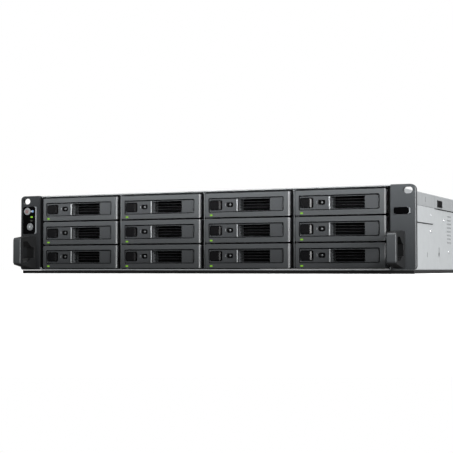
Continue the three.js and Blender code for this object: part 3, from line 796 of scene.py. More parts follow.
flat_chips = gathered(*[
    block((x, x + w), (FACE + y, FACE + y + d), (BOARD_TOP, BOARD_TOP + h), 0.0004)
    for x, w, y, d, h in (
        (-0.175, 0.024, 0.36, 0.024, 0.0022), (-0.14, 0.014, 0.42, 0.014, 0.0018),
        (-0.18, 0.03, 0.52, 0.03, 0.0026), (-0.11, 0.018, 0.57, 0.018, 0.002),
        (0.03, 0.016, 0.58, 0.016, 0.002), (-0.02, 0.012, 0.33, 0.012, 0.0016),
        (0.085, 0.03, 0.335, 0.012, 0.009), (-0.2, 0.012, 0.42, 0.045, 0.009),
    )
])
piece("board_chips", flat_chips, "chassis", SOCKET_BLACK)
can = turned([(0, 0), (0.0036, 0), (0.0036, 0.0088), (0.0032, 0.0094), (0, 0.0094)], 16, ALONG_Z)
cans = copied(can, [
    (-0.075 + 0.0095 * (i % 4), FACE + 0.505 + 0.0105 * (i // 4), BOARD_TOP) for i in range(8)
] + [(0.09 + 0.0095 * (i % 3), FACE + 0.41 + 0.0105 * (i // 3), BOARD_TOP) for i in range(9)])
piece("board_capacitors", cans, "chassis", CAST_METAL)

# sockets: a stamped metal shell open to the rear, with a black block of contacts inside
SOCKET_FRONT = FACE + 0.646
SOCKET_BACK = FACE + 0.6678


def socket_shell(left, width, height, mouths):
    """The shell of a row of sockets: x and z limits of each mouth are from its lower left corner."""
    outline = rounded((left, left + width), (BOARD_TOP, BOARD_TOP + height), 0.0006, 2)
    openings = [
        rounded((left + x0, left + x1), (BOARD_TOP + z0, BOARD_TOP + z1), 0.0003, 2)
        for x0, x1, z0, z1 in mouths
    ]
    return slab([outline, *openings], (SOCKET_FRONT + 0.007, SOCKET_BACK))


def socket_core(left, width, height, mouths):
    """The moulded block behind the mouths, with a tongue or a row of contact ribs in each."""
    parts = [block((left, left + width), (SOCKET_FRONT, SOCKET_FRONT + 0.0069),
                   (BOARD_TOP, BOARD_TOP + height), 0.0004)]
    for x0, x1, z0, z1 in mouths:
        middle = left + (x0 + x1) / 2
        if z1 - z0 > 0.007:
            ribs = [block((middle + (i - 3.5) * 0.00102 - 0.0002, middle + (i - 3.5) * 0.00102 + 0.0002),
                          (SOCKET_FRONT + 0.0065, SOCKET_FRONT + 0.0145),
                          (BOARD_TOP + z0 + 0.0004, BOARD_TOP + z0 + 0.0016)) for i in range(8)]
            parts += ribs
        else:
            parts.append(block((left + x0 + 0.001, left + x1 - 0.001),
                               (SOCKET_FRONT + 0.0065, SOCKET_BACK - 0.0015),
                               (BOARD_TOP + z1 - 0.0024, BOARD_TOP + z1 - 0.0009), 0.0002))
    return gathered(*parts)


sockets = {
    "console_socket": (-0.042, 0.0155, 0.0135, [(0.0016, 0.0139, 0.002, 0.0115)]),
    "expansion_socket": (-0.020, 0.024, 0.0125, [(0.0015, 0.0225, 0.002, 0.0105)]),
    "network_sockets": (0.012, 0.063, 0.0135,
                        [(0.0015 + 0.0155 * i, 0.014 + 0.0155 * i, 0.002, 0.0115) for i in range(4)]),
    "usb_sockets": (0.084, 0.015, 0.0158, [(0.001, 0.014, 0.0015, 0.0067), (0.001, 0.014, 0.009, 0.0142)]),
}
for name, (left, width, height, mouths) in sockets.items():
    piece(f"{name}_shell", socket_shell(left, width, height, mouths), "chassis", PLATED)
    piece(f"{name}_core", socket_core(left, width, height, mouths), "chassis", SOCKET_BLACK)

# ---- Power supplies -----------------------------------------------------------------------------
# Two hot-swap units in plated steel cases, one above the other. Each has an air grille, a mains
# inlet with three blades, a black pull handle, a green release lever and a lamp.

CASE_METAL = zinc_sheet("supply_case_metal", (0.52, 0.54, 0.55), (0.58, 0.60, 0.61), 0.85, (0.3, 0.42))
HANDLE_BLACK = moulded("handle_black", (0.022, 0.023, 0.025), 0.4)
LEVER_GREEN = moulded("lever_green", (0.03, 0.27, 0.10), 0.38)


def lamp_finish(name, colour, strength):
    """A small lit lens: its own colour, glowing a little more in the middle of its grain."""
    finish, nodes, links, shader = new_finish(name, 0.25)
    frost = pattern(nodes, links, "ShaderNodeTexNoise", 2500, Detail=2)
    dim = tuple(0.8 * c for c in colour)
    ramp = ramp_between(nodes, links, frost.outputs["Fac"], dim, colour)
    links.new(ramp.outputs["Color"], shader.inputs["Base Color"])
    links.new(ramp.outputs["Color"], shader.inputs["Emission Color"])
    shader.inputs["Emission Strength"].default_value = strength
    return finish


GREEN_LIGHT = lamp_finish("green_light", (0.052, 0.115, 0.009), 3.6)


def bowed_handle(x, depth, thick, bar):
    """A flat loop handle seen from above: two arms and a bar with rounded corners, out along +Y."""
    loop_outer = rounded(x, (0, depth), (0, 0, bar * 1.1, bar * 1.1), 5)
    loop_inner = rounded((x[0] + bar, x[1] - bar), (-0.0004, depth - bar), (0, 0, bar * 0.5, bar * 0.5), 4)
    whole = slab([loop_outer], (-thick / 2, thick / 2), ALONG_Z)
    return softened(carved(whole, slab([loop_inner], (-thick, thick), ALONG_Z)), 0.0009, 3)


for which_supply in ("lower", "upper"):
    node = f"power_supply_{which_supply}"
    body = f"supply_{which_supply}"
    low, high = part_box(node)
    back = FACE + 0.667
    middle = (low.z + high.z) / 2
    case_x = (low.x, high.x)
    inlet = ((high.x - 0.033, high.x - 0.006), (middle - 0.0095, middle + 0.0095))
    lever_slot = ((low.x + 0.0012, low.x + 0.0073), (middle - 0.0128, middle - 0.0057))
    box_shape = softened(block(case_x, (low.y, back - 0.0012), (low.z, high.z)), 0.0008, 3)
    wells = gathered(
        block(inlet[0], (back - 0.016, back + 0.01), inlet[1]),
        block(lever_slot[0], (back - 0.009, back + 0.01), lever_slot[1]),
    )
    vents = gathered(*[
        block((x, x + 0.009), (low.y + 0.012 + 0.006 * j, low.y + 0.015 + 0.006 * j),
              (high.z - 0.0006, high.z + 0.01))
        for x in [low.x + 0.008 + 0.0125 * i for i in range(5)] for j in range(6)
    ])
    case = carved(carved(box_shape, wells), vents)
    piece(f"supply_case_{which_supply}", case, body, CASE_METAL, (node,))
    holes = [
        circle(low.x + 0.0102 + 0.0042 * i + 0.0021 * (j % 2), low.z + 0.0052 + 0.0037 * j, 0.0016, 6)
        for j in range(9) for i in range(6) if not 3 <= j <= 5
    ]
    grille = slab(
        [rounded((low.x + 0.0003, high.x - 0.0003), (low.z + 0.0003, high.z - 0.0003), 0.001, 2),
         rounded(*inlet, 0.001, 2), rounded(*lever_slot, 0.0006, 2), *holes],
        (back - 0.0011, back),
    )
    piece(f"supply_grille_{which_supply}", grille, body, CASE_METAL)
    handle_shape = moved(
        bowed_handle((low.x + 0.004, low.x + 0.034), high.y - back - 0.0002, 0.005, 0.0042),
        (0, back, middle),
    )
    piece(f"supply_handle_{which_supply}", handle_shape, body, HANDLE_BLACK)
    rim = slab(
        [rounded(*inlet, 0.001, 2),
         rounded((inlet[0][0] + 0.0016, inlet[0][1] - 0.0016), (inlet[1][0] + 0.0014, inlet[1][1] - 0.0014),
                 (0.0008, 0.0008, 0.005, 0.005), 3)],
        (back - 0.0158, back + 0.0006),
    )
    blades = copied(
        block((-0.001, 0.001), (back - 0.0158, back - 0.004), (-0.002, 0.002), 0.0003),
        [((inlet[0][0] + inlet[0][1]) / 2 + dx, 0, middle + dz)
         for dx, dz in ((0, 0.003), (-0.007, -0.002), (0.007, -0.002))],
    )
    piece(f"mains_inlet_{which_supply}", rim, body, SOCKET_BLACK)
    piece(f"mains_blades_{which_supply}", blades, body, PLATED)
    lamp = moved(turned([(0, 0), (0.0013, 0), (0.0013, 0.0008), (0.0009, 0.0012), (0, 0.0013)], 14),
                 (high.x - 0.004, back - 0.0002, high.z - 0.0045))
    piece(f"supply_lamp_{which_supply}", lamp, body, GREEN_LIGHT)
    tab_low, tab_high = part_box(f"supply_latch_{which_supply}")
    tab = slab(
        [rounded((tab_low.x, tab_high.x), (tab_low.y, tab_high.y), (0, 0, 0.0012, 0.0012), 4)],
        (tab_low.z, tab_high.z), ALONG_Z,
    )
    grip = copied(
        block((tab_low.x - 0.0005, tab_low.x + 0.0006), (-0.0004, 0.0004),
              (tab_low.z + 0.0008, tab_high.z - 0.0008), 0.0002),
        [(0, tab_high.y - 0.002 - 0.0018 * i, 0) for i in range(4)],
    )
    piece(f"supply_lever_green_{which_supply}", gathered(softened(tab, 0.0004), grip),
          f"supply_lever_{which_supply}", LEVER_GREEN, (f"supply_latch_{which_supply}",))

# ---- Covers and lid latches ---------------------------------------------------------------------
# Two bent steel sheets: a short one screwed down over the drive bays, and a long lid that slides
# back. Their side flanges lap over the walls. A black slide in each of the lid's flanges locks it.

cover_low, cover_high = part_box("front_cover")
lid_low, lid_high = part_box("rear_lid")
COVER_SHEET = 0.0009
COVER_BEND = 0.0016


def folded_cover(front, back):
    """Top and two side flanges, with rounded bends, from front to back."""
    across = (cover_low.x, cover_high.x)
    outside = rounded(across, (cover_low.z, cover_high.z), (0, 0, COVER_BEND, COVER_BEND), 4)
    inside = rounded(
        (across[0] + COVER_SHEET, across[1] - COVER_SHEET),
        (cover_low.z - 0.02, cover_high.z - 0.0012), (0, 0, 0.0007, 0.0007), 2,
    )
    return carved(slab([outside], (front, back)), slab([inside], (front - 0.01, back + 0.01)))


# the covers' steel is a darker copy of the walls' zinc: painted shade along the top of the sides
COVER_ZINC_SHADED = zinc_sheet("cover_zinc_painted_shade", (0.335, 0.348, 0.356), (0.36, 0.373, 0.381), 0.35, (0.42, 0.5))
COVER_SCREWS = [
    (x, y, cover_high.z)
    for y in (cover_low.y + 0.012, cover_high.y - 0.012) for x in (-0.19, -0.065, 0.065, 0.19)
]


def dimples(places):
    """What is pressed in round each screw of a cover."""
    return copied(
        turned([(0, -0.003), (0.0034, -0.003), (0.0034, 0.003), (0, 0.003)], 18, ALONG_Z), places
    )


side_slots = slab(
    [rounded((FACE + 0.1372, FACE + 0.1388), (0.0772, 0.0832), 0.0007, 3)], (-0.3, 0.3), ALONG_X
)
front_sheet = carved(folded_cover(cover_low.y, cover_high.y), side_slots)
front_sheet = carved(front_sheet, dimples(COVER_SCREWS))
piece("front_cover_sheet", front_sheet, "chassis", COVER_ZINC_SHADED, ("front_cover",))
sunk_head = turned(
    [(0, -0.0012), (0.0031, -0.0012), (0.0031, -0.0004), (0.0026, -0.0001), (0.0011, -0.0001),
     (0.0011, -0.0007), (0, -0.0007)], 18, ALONG_Z,
)
piece("front_cover_screws", copied(sunk_head, COVER_SCREWS), "chassis", PLATED)

latch_low, latch_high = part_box("lid_latch_right")
LATCH_TRAVEL = 0.004
LID_SCREWS = [(x, lid_high.y - 0.010, lid_high.z) for x in (-0.12, 0.12)]
latch_window = block(
    (-0.3, 0.3), (latch_low.y - 0.0003, latch_high.y + LATCH_TRAVEL + 0.0003),
    (latch_low.z - 0.0003, latch_high.z + 0.0003),
)
press_pads = gathered(*[
    softened(block((x - 0.022, x + 0.022), (lid_low.y + 0.030, lid_low.y + 0.062),
                   (lid_high.z - 0.0004, lid_high.z + 0.003)), 0.0002, 1)
    for x in (-0.13, 0.13)
])
lid_sheet = carved(folded_cover(lid_low.y, lid_high.y), latch_window)
lid_sheet = carved(lid_sheet, gathered(dimples(LID_SCREWS), press_pads))
piece("lid_sheet", lid_sheet, "lid", COVER_ZINC_SHADED, ("rear_lid",))
lid_heads = moved(moved(pan_screw(0.0031, 0.0006), turn=OUT_UP), (0, 0, -0.0012))
piece("lid_screws", copied(lid_heads, LID_SCREWS), "lid", PLATED)

# a dark strip under each flange, and a short one under each ear's arm: painted shadow lines below their edges
STRIP_X = (0.2138, 0.2146)
STRIP_FRONT = FACE + 0.006
for side in ("right", "left"):
    flange_foot = (cover_low.z - 0.0009, cover_low.z - 0.0001)
    strips = gathered(
        block(STRIP_X, (STRIP_FRONT, lid_high.y - 0.004), flange_foot),
        block(STRIP_X, (STRIP_FRONT, FACE + 0.172), (0.0528, 0.0536)),
    )
    if side == "left":
        strips = mirrored(strips)
    piece(f"side_strips_{side}", strips, "chassis", SHADE_BLACK)

LATCH_BLACK = moulded("latch_black", (0.005, 0.005, 0.0055), 0.45, shine=0.25)
for side, name in ((1, "right"), (-1, "left")):
    x = latch_low.x
    slide = softened(block((x, x + 0.0016), (latch_low.y, latch_high.y), (latch_low.z, latch_high.z)),
                     0.0004, 2)
    ribs = copied(
        block((x + 0.0012, latch_high.x), (-0.0006, 0.0006), (latch_low.z + 0.001, latch_high.z - 0.001),
              0.0003),
        [(0, latch_low.y + y, 0) for y in (0.0085, 0.0109, 0.0133)],
    )
    whole = gathered(slide, ribs)
    if side < 0:
        whole = mirrored(whole)
    piece(f"lid_slide_{name}", whole, f"latch_{name}", LATCH_BLACK,
          (f"lid_latch_{name}",))

# ---- Rack ears ----------------------------------------------------------------------------------
# Moulded dark grey shells over a black bracket at each side; the left shell is a darker copy of the
# right one, and the bracket and an inner lining are black, as painted shade. The outer edge is rounded,
# the upper part has a slotted hole for the rack screw, and a steel arm runs back along the body's side.

EAR_GREY = moulded("ear_grey", (0.045, 0.0485, 0.0515), 0.40, grain=1100, depth=0.00004, mottle=0.06)
# the left ear's shell is a darker copy of the right's grey: painted shade
EAR_GREY_SHADED = moulded("ear_grey_painted_shade", (0.020, 0.0215, 0.023), 0.40, grain=1100, depth=0.00004, mottle=0.06)
ear_low, ear_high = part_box("right_ear")
EAR_INNER = 0.2141
EAR_THICK = 0.0045
SHELL_THICK = 0.0024
EAR_CORNER = 0.006
SLOT = {"x": (0.2275, 0.2375), "z": (0.0783, 0.0853)}
LINING_X = (0.2112, EAR_INNER + 0.0001)
ARM_END = ear_high.y
ARM_Z = (0.0537, 0.0722)
SEAT = {"right": ((0.2175, 0.2355), (0.0572, 0.0646)), "left": ((0.2179, 0.2373), (0.0429, 0.0756))}


def ear_shell(seat):
    """The right ear's shell, with a pocket for its plate, and the black bracket behind it, whose black side
    is painted shade.
    """
    outline = rounded(
        (EAR_INNER, ear_high.x), (ear_low.z, ear_high.z), (0.0002, 0.004, EAR_CORNER, 0.0006), 6
    )
    half = (SLOT["z"][1] - SLOT["z"][0]) / 2 - 0.00001
    slot = rounded(SLOT["x"], SLOT["z"], half, 6)
    plan = rounded(
        (EAR_INNER - 0.001, ear_high.x), (FACE, FACE + SHELL_THICK), (0.0002, 0.0016, 0.0, 0), 5
    )
    shell = carved(
        slab([outline, slot], (FACE, FACE + SHELL_THICK)),
        slab([plan], (-0.01, 0.1), ALONG_Z), "INTERSECT",
    )
    bracket = slab([outline, slot], (FACE + SHELL_THICK, FACE + EAR_THICK))
    pocket = slab([rounded(*seat, 0.0012, 4)], (FACE - 0.01, FACE + 0.0015))
    return softened(carved(shell, pocket), 0.00035, 2), softened(bracket, 0.0002, 1)


for side, ear_finish in (("left", EAR_GREY_SHADED), ("right", EAR_GREY)):
    shell, bracket = ear_shell(SEAT[side])
    # the black inner lining and the black bracket are painted shade at the ear's inner edge and side
    lining = block(LINING_X, (FACE + 0.003, FACE + 0.0078), (0.0017, 0.086), 0.0003)
    arm = slab([rounded((FACE + EAR_THICK, ARM_END), ARM_Z, (0.0004, 0.0025, 0.0025, 0.0004), 4)],
               (EAR_INNER, EAR_INNER + 0.001), ALONG_X)
    arm = softened(arm, 0.0002, 1)
    rivets = copied(
        moved(turned([(0, 0), (0.0021, 0), (0.0021, -0.0002), (0.0014, -0.0006), (0, -0.0007)], 14),
              turn=OUT_RIGHT),
        [(EAR_INNER + 0.001, FACE + y, 0.063) for y in (0.03, 0.162)],
    )
    bracket = gathered(bracket, lining)
    arm = gathered(arm, rivets)
    if side == "left":
        shell, bracket, arm = [mirrored(part) for part in (shell, bracket, arm)]
    piece(f"ear_shell_{side}", shell, "chassis", ear_finish, (f"{side}_ear",))
    piece(f"ear_lining_{side}", bracket, "chassis", SHADE_BLACK)
    piece(f"ear_arm_{side}", arm, "chassis", ZINC)

# ---- Control panel and name plate ---------------------------------------------------------------
# Polished black plates set in the ears, with a light grey rim at the right-hand end only: a painted
# highlight. The left one carries the power key with its lamp, two status lamps and the mute key. The
# right one is left blank.

GLOSS_BLACK = moulded("gloss_black", (0.001, 0.001, 0.0012), 0.14, grain=700, depth=0.000004,
                      mottle=0.1, coat=0.03, shine=0.12)
# light grey for the rim at each plate's right-hand end: a painted highlight
RIM_PAINTED_HIGHLIGHT = moulded("rim_painted_highlight", (0.16, 0.17, 0.178), 0.3, mottle=0.05)
KEY_GREY = moulded("key_grey", (0.135, 0.142, 0.147), 0.36, mottle=0.05)
PLATE_FRONT = FACE - 0.0012


def plate_and_rim(area, holes=()):
    """The black plate, and the light grey rim round its right-hand end, a painted highlight."""
    x, z = area
    inner = rounded((x[0] + 0.0001, x[1] - 0.0012), (z[0] + 0.0001, z[1] - 0.0003), 0.0018, 5)
    ring = slab([rounded(x, z, 0.0020, 5), inner], (PLATE_FRONT, FACE + 0.0011))
    end = block((x[1] - 0.0032, x[1] + 0.001), (FACE - 0.01, FACE + 0.01), (z[0] - 0.01, z[1] + 0.01))
    rim = softened(carved(ring, end, "INTERSECT"), 0.00014, 1)
    inset = slab([inner, *holes], (PLATE_FRONT + 0.0002, FACE + 0.0009))
    return softened(inset, 0.00012, 1), rim


panel_low, panel_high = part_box("control_panel")
name_low, name_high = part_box("name_plate")
power_low, power_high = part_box("power_button")
mute_low, mute_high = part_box("mute_button")
key_places = {
    "power": ((power_low.x + power_high.x) / 2, (power_low.z + power_high.z) / 2),
    "mute": ((mute_low.x + mute_high.x) / 2, (mute_low.z + mute_high.z) / 2),
}
KEY_RADIUS = (power_high.x - power_low.x) / 2
LAMP_X = -0.2232
blank, blank_rim = plate_and_rim(((name_low.x, name_high.x), (name_low.z, name_high.z)))
piece("name_plate_blank", blank, "chassis", GLOSS_BLACK, ("name_plate",))
piece("name_plate_rim", blank_rim, "chassis", RIM_PAINTED_HIGHLIGHT)
key_holes = [circle(x, z, KEY_RADIUS + 0.0003, 28) for x, z in key_places.values()]
panel, panel_rim = plate_and_rim(
    ((panel_low.x, panel_high.x), (panel_low.z, panel_high.z)), key_holes
)
piece("control_plate", panel, "chassis", GLOSS_BLACK, ("control_panel",))
piece("control_rim", panel_rim, "chassis", RIM_PAINTED_HIGHLIGHT)

key_cap = turned(
    [(0, -0.0006), (0.0026, -0.0006), (0.0030, -0.00035), (0.0033, -0.0006),
     (KEY_RADIUS - 0.0004, -0.0005), (KEY_RADIUS, -0.0001), (KEY_RADIUS, 0.0006), (0, 0.0006)], 32,
)
cap_mesh = to_mesh(key_cap, "key_cap")
WHITE_MARK = lamp_finish("white_mark", (0.30, 0.32, 0.33), 0.2)
RED_MARK = moulded("red_mark", (0.15, 0.022, 0.014), 0.4, mottle=0.05)
BLUE_LIGHT = lamp_finish("blue_light", (0.09, 0.15, 0.26), 1.2)
for key in ("power", "mute"):
    x, z = key_places[key]
    piece(f"{key}_key_cap", cap_mesh, f"{key}_key", KEY_GREY, (f"{key}_button",),
          (x, power_low.y + 0.0006, z))

# the power symbol: an open ring with a stroke at its top
power_x, power_z = key_places["power"]
MARK_RADIUS, MARK_LINE = 0.0016, 0.00032
ring_out = [(MARK_RADIUS + MARK_LINE, t) for t in range(125, 416, 15)]
ring_in = [(MARK_RADIUS - MARK_LINE, t) for t in range(410, 120, -15)]
open_ring = [
    (power_x + r * math.cos(math.radians(t)), power_z - 0.0002 + r * math.sin(math.radians(t)))
    for r, t in ring_out + ring_in
]
stroke = rounded((power_x - MARK_LINE, power_x + MARK_LINE), (power_z, power_z + 0.0021), 0.0002, 2)
mark_span = (power_low.y - 0.0001, power_low.y + 0.0002)
power_mark = gathered(slab([open_ring], mark_span), slab([stroke], mark_span))
piece("power_mark", power_mark, "power_key", RED_MARK)
mute_x, mute_z = key_places["mute"]
mute_dot = slab([circle(mute_x, mute_z, 0.0011, 18)], (mute_low.y - 0.0001, mute_low.y + 0.0002))
# the mute key's white dot takes the lamp finish and glows faintly: painted light
piece("mute_mark", mute_dot, "mute_key", WHITE_MARK)

INSET = PLATE_FRONT + 0.0002
pipe_x = (power_x + KEY_RADIUS + 0.0005, LAMP_X - 0.0012)
pipe = slab(
    [rounded(pipe_x, (power_z - 0.0009, power_z + 0.0009), 0.0003, 2)],
    (INSET - 0.0003, INSET + 0.0004),
)
piece("light_pipe", softened(pipe, 0.0002, 2), "chassis", WHITE_MARK)
round_lamp = moved(
    turned([(0, -0.0005), (0.0008, -0.00045), (0.0013, -0.0002), (0.0014, 0.0004), (0, 0.0004)], 18),
    (LAMP_X, INSET, power_z),
)
piece("power_lamp", round_lamp, "chassis", BLUE_LIGHT)
DIM_LIGHT = lamp_finish("dim_light", (0.030, 0.030, 0.028), 0.02)
for name, drop, lens_finish in (
    ("status_lamp", 0.0068, GREEN_LIGHT), ("alert_lamp", 0.0112, DIM_LIGHT),
):
    z = power_z - drop
    lens = slab([rounded((LAMP_X - 0.0032, LAMP_X + 0.0004), (z - 0.00095, z + 0.00095), 0.0009, 4)],
                (INSET - 0.0003, INSET + 0.0004))
    piece(name, softened(lens, 0.0002, 2), "chassis", lens_finish)

# ---- Pull handles -------------------------------------------------------------------------------
# One low on each ear, of glass-filled nylon. The bar's front face is capped in grey; the foot against the
# ear, the two tapering arms and the bar's flanks are near black, a shaded copy of that grey as painted
# shade. Between the arms is the opening for the fingers.

# near black for the handle's foot, arms and the bar's flanks: painted shade of the grey
GRIP_PAINTED_SHADE = moulded("grip_painted_shade", (0.009, 0.0095, 0.010), 0.40, grain=900, depth=0.00004, mottle=0.08)
GRIP_GREY = moulded("grip_grey", (0.068, 0.073, 0.077), 0.42, grain=900, depth=0.00004, mottle=0.06)
BAR_THICK = 0.0018
grip_low, grip_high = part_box("right_handle")
REACH = grip_low.y - FACE
BASE = grip_high.y - FACE


def pull_handle(x):
    profile = [
        (BASE, grip_low.z), (BASE, grip_high.z), (-0.012, grip_high.z), (REACH + 0.002, 0.0375),
        (REACH, 0.0355), (REACH, 0.0085), (REACH + 0.002, 0.0065), (-0.010, grip_low.z),
    ]
    opening = [
        (-0.026, 0.0105), (-0.0245, 0.0092), (-0.017, 0.0092), (-0.0105, 0.014), (-0.004, 0.0145),
        (-0.004, 0.027), (-0.0095, 0.0274), (-0.0175, 0.0338), (-0.0245, 0.0338), (-0.026, 0.0325),
    ]
    rings = [[(FACE + y, z) for y, z in ring] for ring in (profile, opening)]
    whole = slab(rings, x, ALONG_X)
    front = block((-0.3, 0.3), (grip_low.y - 0.01, grip_low.y + BAR_THICK), (-0.1, 0.1))
    cap = carved(whole.copy(), front.copy(), "INTERSECT")
    return softened(cap, 0.0008, 3, 20), softened(carved(whole, front), 0.0009, 2, 20)


for side, body_x in (("right", (grip_low.x, grip_high.x)), ("left", (-grip_high.x, -grip_low.x))):
    cap, arms = pull_handle(body_x)
    piece(f"pull_handle_{side}", arms, "chassis", GRIP_PAINTED_SHADE, (f"{side}_handle",))
    piece(f"handle_bar_{side}", cap, "chassis", GRIP_GREY)

# ---- Drive trays --------------------------------------------------------------------------------
# Twelve hot-swap trays. Each is a bent steel carrier with a moulded grey front, screwed to a
# 3.5-inch drive. The front's right-hand edge is one broad round from top to bottom.
# A tray's shapes are drawn from the middle of its front's lower edge.

TRAY_GREY = moulded("tray_grey", (0.062, 0.066, 0.069), 0.31, mottle=0.05)
FRONT_HALF = 0.05015
FRONT_Z = (0.0002, 0.0264)
FRONT_CROWN = 0.0006
FRONT_DEEP = 0.014
FRONT_ROUND = 0.0048
RECESS_X = (-0.04605, 0.0430)
RECESS_Z = (0.0054, 0.0213)
RECESS_DEEP = 0.010
RECESS_CORNERS = (0.001, 0.002, 0.002, 0.001)
LINER = 0.0004
HINGE_LINER = 0.0002
AIR_X = (-0.0096, 0.02685)
AIR_Z = (0.0072, 0.0199)
SLAT_Z = (0.0105, 0.0136, 0.0167)
TRAY_LAMP = ((-0.0444, -0.0412), (0.0016, 0.0034))


def tray_front():
    """The moulded front: slightly crowned, with a broad round along its right-hand side."""
    across = (-FRONT_HALF, FRONT_HALF)
    face = slab([rounded(across, FRONT_Z, (0.0014, 0.002, 0.002, 0.0014), 4)], (0, FRONT_DEEP))
    plan = slab([rounded(across, (0, FRONT_DEEP), (0.0006, FRONT_ROUND, 0, 0), 9)], (-0.001, 0.03), ALONG_Z)
    crown = slab([[(FRONT_CROWN, -0.001), (0, RECESS_Z[0]), (0, RECESS_Z[1]), (FRONT_CROWN, 0.0275),
                   (0.02, 0.0275), (0.02, -0.001)]], (-0.1, 0.1), ALONG_X)
    recess = slab([rounded(RECESS_X, RECESS_Z, RECESS_CORNERS, 4)], (-0.01, RECESS_DEEP))
    window = slab([rounded(AIR_X, AIR_Z, 0.0005, 2)], (-0.01, 0.03))
    shape = carved(carved(face, plan, "INTERSECT"), crown, "INTERSECT")
    shape = softened(carved(shape, recess), 0.0004, 3)
    seam = block((-0.03395, -0.03370), (-0.01, 0.0004), (-0.01, 0.04))
    lamp_hole = slab([rounded(*TRAY_LAMP, 0.0004, 2)], (-0.01, 0.002))
    return carved(shape, gathered(window, seam, lamp_hole))


def recess_lining():
    """A thin black liner round the recess that holds the lever: painted shade in the gap round the lever."""
    outer = rounded(RECESS_X, RECESS_Z, RECESS_CORNERS, 4)
    inner = rounded((RECESS_X[0] + LINER, RECESS_X[1] - HINGE_LINER),
                    (RECESS_Z[0] + LINER, RECESS_Z[1] - LINER), RECESS_CORNERS, 4)
    return slab([outer, inner], (0.0005, RECESS_DEEP))


# what is behind the front: a folded sheet with a pierced front wall, and two side rails
CARRIER_Y = (0.0131, 0.1750)
RAIL_OUT = 0.0514
RAIL_TOP = 0.0134
DRIVE_Y = (0.028, 0.1738)
DRIVE_Z = (0.0012, 0.0268)
SIDE_SCREWS = [(RAIL_OUT, DRIVE_Y[1] - 0.0285, 0.0072), (RAIL_OUT, DRIVE_Y[1] - 0.1301, 0.0072)]


def tray_carrier():
    holes = [
        rounded((x, x + 0.026), (y, y + 0.03), 0.004, 3) for x in (-0.036, 0.010) for y in (0.04, 0.085, 0.13)
    ]
    sole = slab([rounded((-RAIL_OUT, RAIL_OUT), CARRIER_Y, 0.001, 2), *holes], (0.0003, 0.0009), ALONG_Z)
    rail = slab(
        [rounded(CARRIER_Y, (0.0003, RAIL_TOP), (0, 0, 0.003, 0.003), 4)]
        + [rounded((y, y + 0.018), (0.0045, 0.0095), 0.002, 3) for y in (0.02, 0.068, 0.098, 0.152)],
        (RAIL_OUT - 0.0006, RAIL_OUT), ALONG_X,
    )
    screws = copied(moved(pan_screw(0.0026, 0.00045), turn=OUT_RIGHT), SIDE_SCREWS)
    right = gathered(rail, screws)
    left = mirrored(right.copy())
    return gathered(sole, right, left)


def tray_shield():
    """The black wall behind the air slots, slotted in line with the lever's slats."""
    holes = [
        rounded((AIR_X[0] + 0.001, AIR_X[1] - 0.001), (z - 0.0004, z + 0.0004), 0.0003, 2) for z in SLAT_Z
    ]
    return slab([rounded((-0.046, 0.046), (0.001, 0.0255), 0.001, 2), *holes], (0.0141, 0.0146))


def drive_body():
    """Cast base with side pockets."""
    half = 0.0508 - 0.0001
    base = softened(block((-half, half), DRIVE_Y, DRIVE_Z), 0.0009, 2)
    pockets = gathered(*[
        block((side * half - 0.0008, side * half + 0.0008), (y, y + 0.024), (0.012, 0.021), 0.0003)
        for side in (-1, 1) for y in (0.045, 0.078, 0.122)
    ])
    return carved(base, pockets)


def drive_lid():
    """Stamped steel cover with a raised ring over the discs, and its screws."""
    top = DRIVE_Z[1]
    plate = slab([rounded((-0.0485, 0.0485), (DRIVE_Y[0] + 0.003, DRIVE_Y[1] - 0.022), 0.006, 4)],
                 (top - 0.0001, top + 0.00012), ALONG_Z)
    middle = (0, DRIVE_Y[0] + 0.052, top)
    ring = moved(
        turned([(0.0405, 0), (0.0395, 0.0002), (0.0385, 0.0002), (0.0375, 0), (0.0405, 0)], 56, ALONG_Z),
        middle,
    )
    screws = copied(
        turned([(0, 0.0002), (0.0022, 0.0002), (0.0022, 0), (0, 0)], 12, ALONG_Z),
        [(x, y, top) for x in (-0.045, 0.045) for y in (DRIVE_Y[0] + 0.008, 0.098, DRIVE_Y[1] - 0.027)],
    )
    return gathered(plate, ring, screws)


BLACK_SHIELD = moulded("black_shield", (0.002, 0.002, 0.0022), 0.6, shine=0.2)
tray_meshes = {
    "recess_lining": (to_mesh(recess_lining(), "recess_lining"), SHADE_BLACK, "black_plastic"),
    "front": (to_mesh(tray_front(), "tray_front"), TRAY_GREY, "tray_bezel"),
    "lamp": (to_mesh(
        slab([rounded(*[(a + 0.0001, b - 0.0001) for a, b in TRAY_LAMP], 0.0003, 2)], (0.0001, 0.0018)),
        "tray_lamp"), GREEN_LIGHT, "latch_green"),
    "carrier": (to_mesh(tray_carrier(), "tray_carrier"), ZINC, "steel_sheet"),
    "shield": (to_mesh(tray_shield(), "tray_shield"), BLACK_SHIELD, "black_plastic"),
    "drive": (to_mesh(drive_body(), "drive"), CAST_METAL, "supply_case"),
    "drive_lid": (to_mesh(drive_lid(), "drive_lid"), CASE_METAL, "supply_case"),
}
for number, (low, high) in enumerate(tray_boxes, 1):
    origin = ((low.x + high.x) / 2, low.y, low.z)
    for part, (mesh, finish, slot) in tray_meshes.items():
        stands_for = (f"drive_tray_{number}",) if part == "front" else ()
        piece(f"tray_{part}_{number}", mesh, f"tray_{number}", finish, stands_for, origin)

# ---- Pull levers --------------------------------------------------------------------------------
# A grey lever fills each tray's recess and hinges at its right end. Its middle is a hollow for a
# finger, with a round rib along its left edge, light grey as a painted highlight, a sloping left wall
# lined dark as painted shade, and three thin slats behind. It holds the key lock.

LEVER_GREY = moulded("lever_grey", (0.050, 0.053, 0.056), 0.38, mottle=0.05)
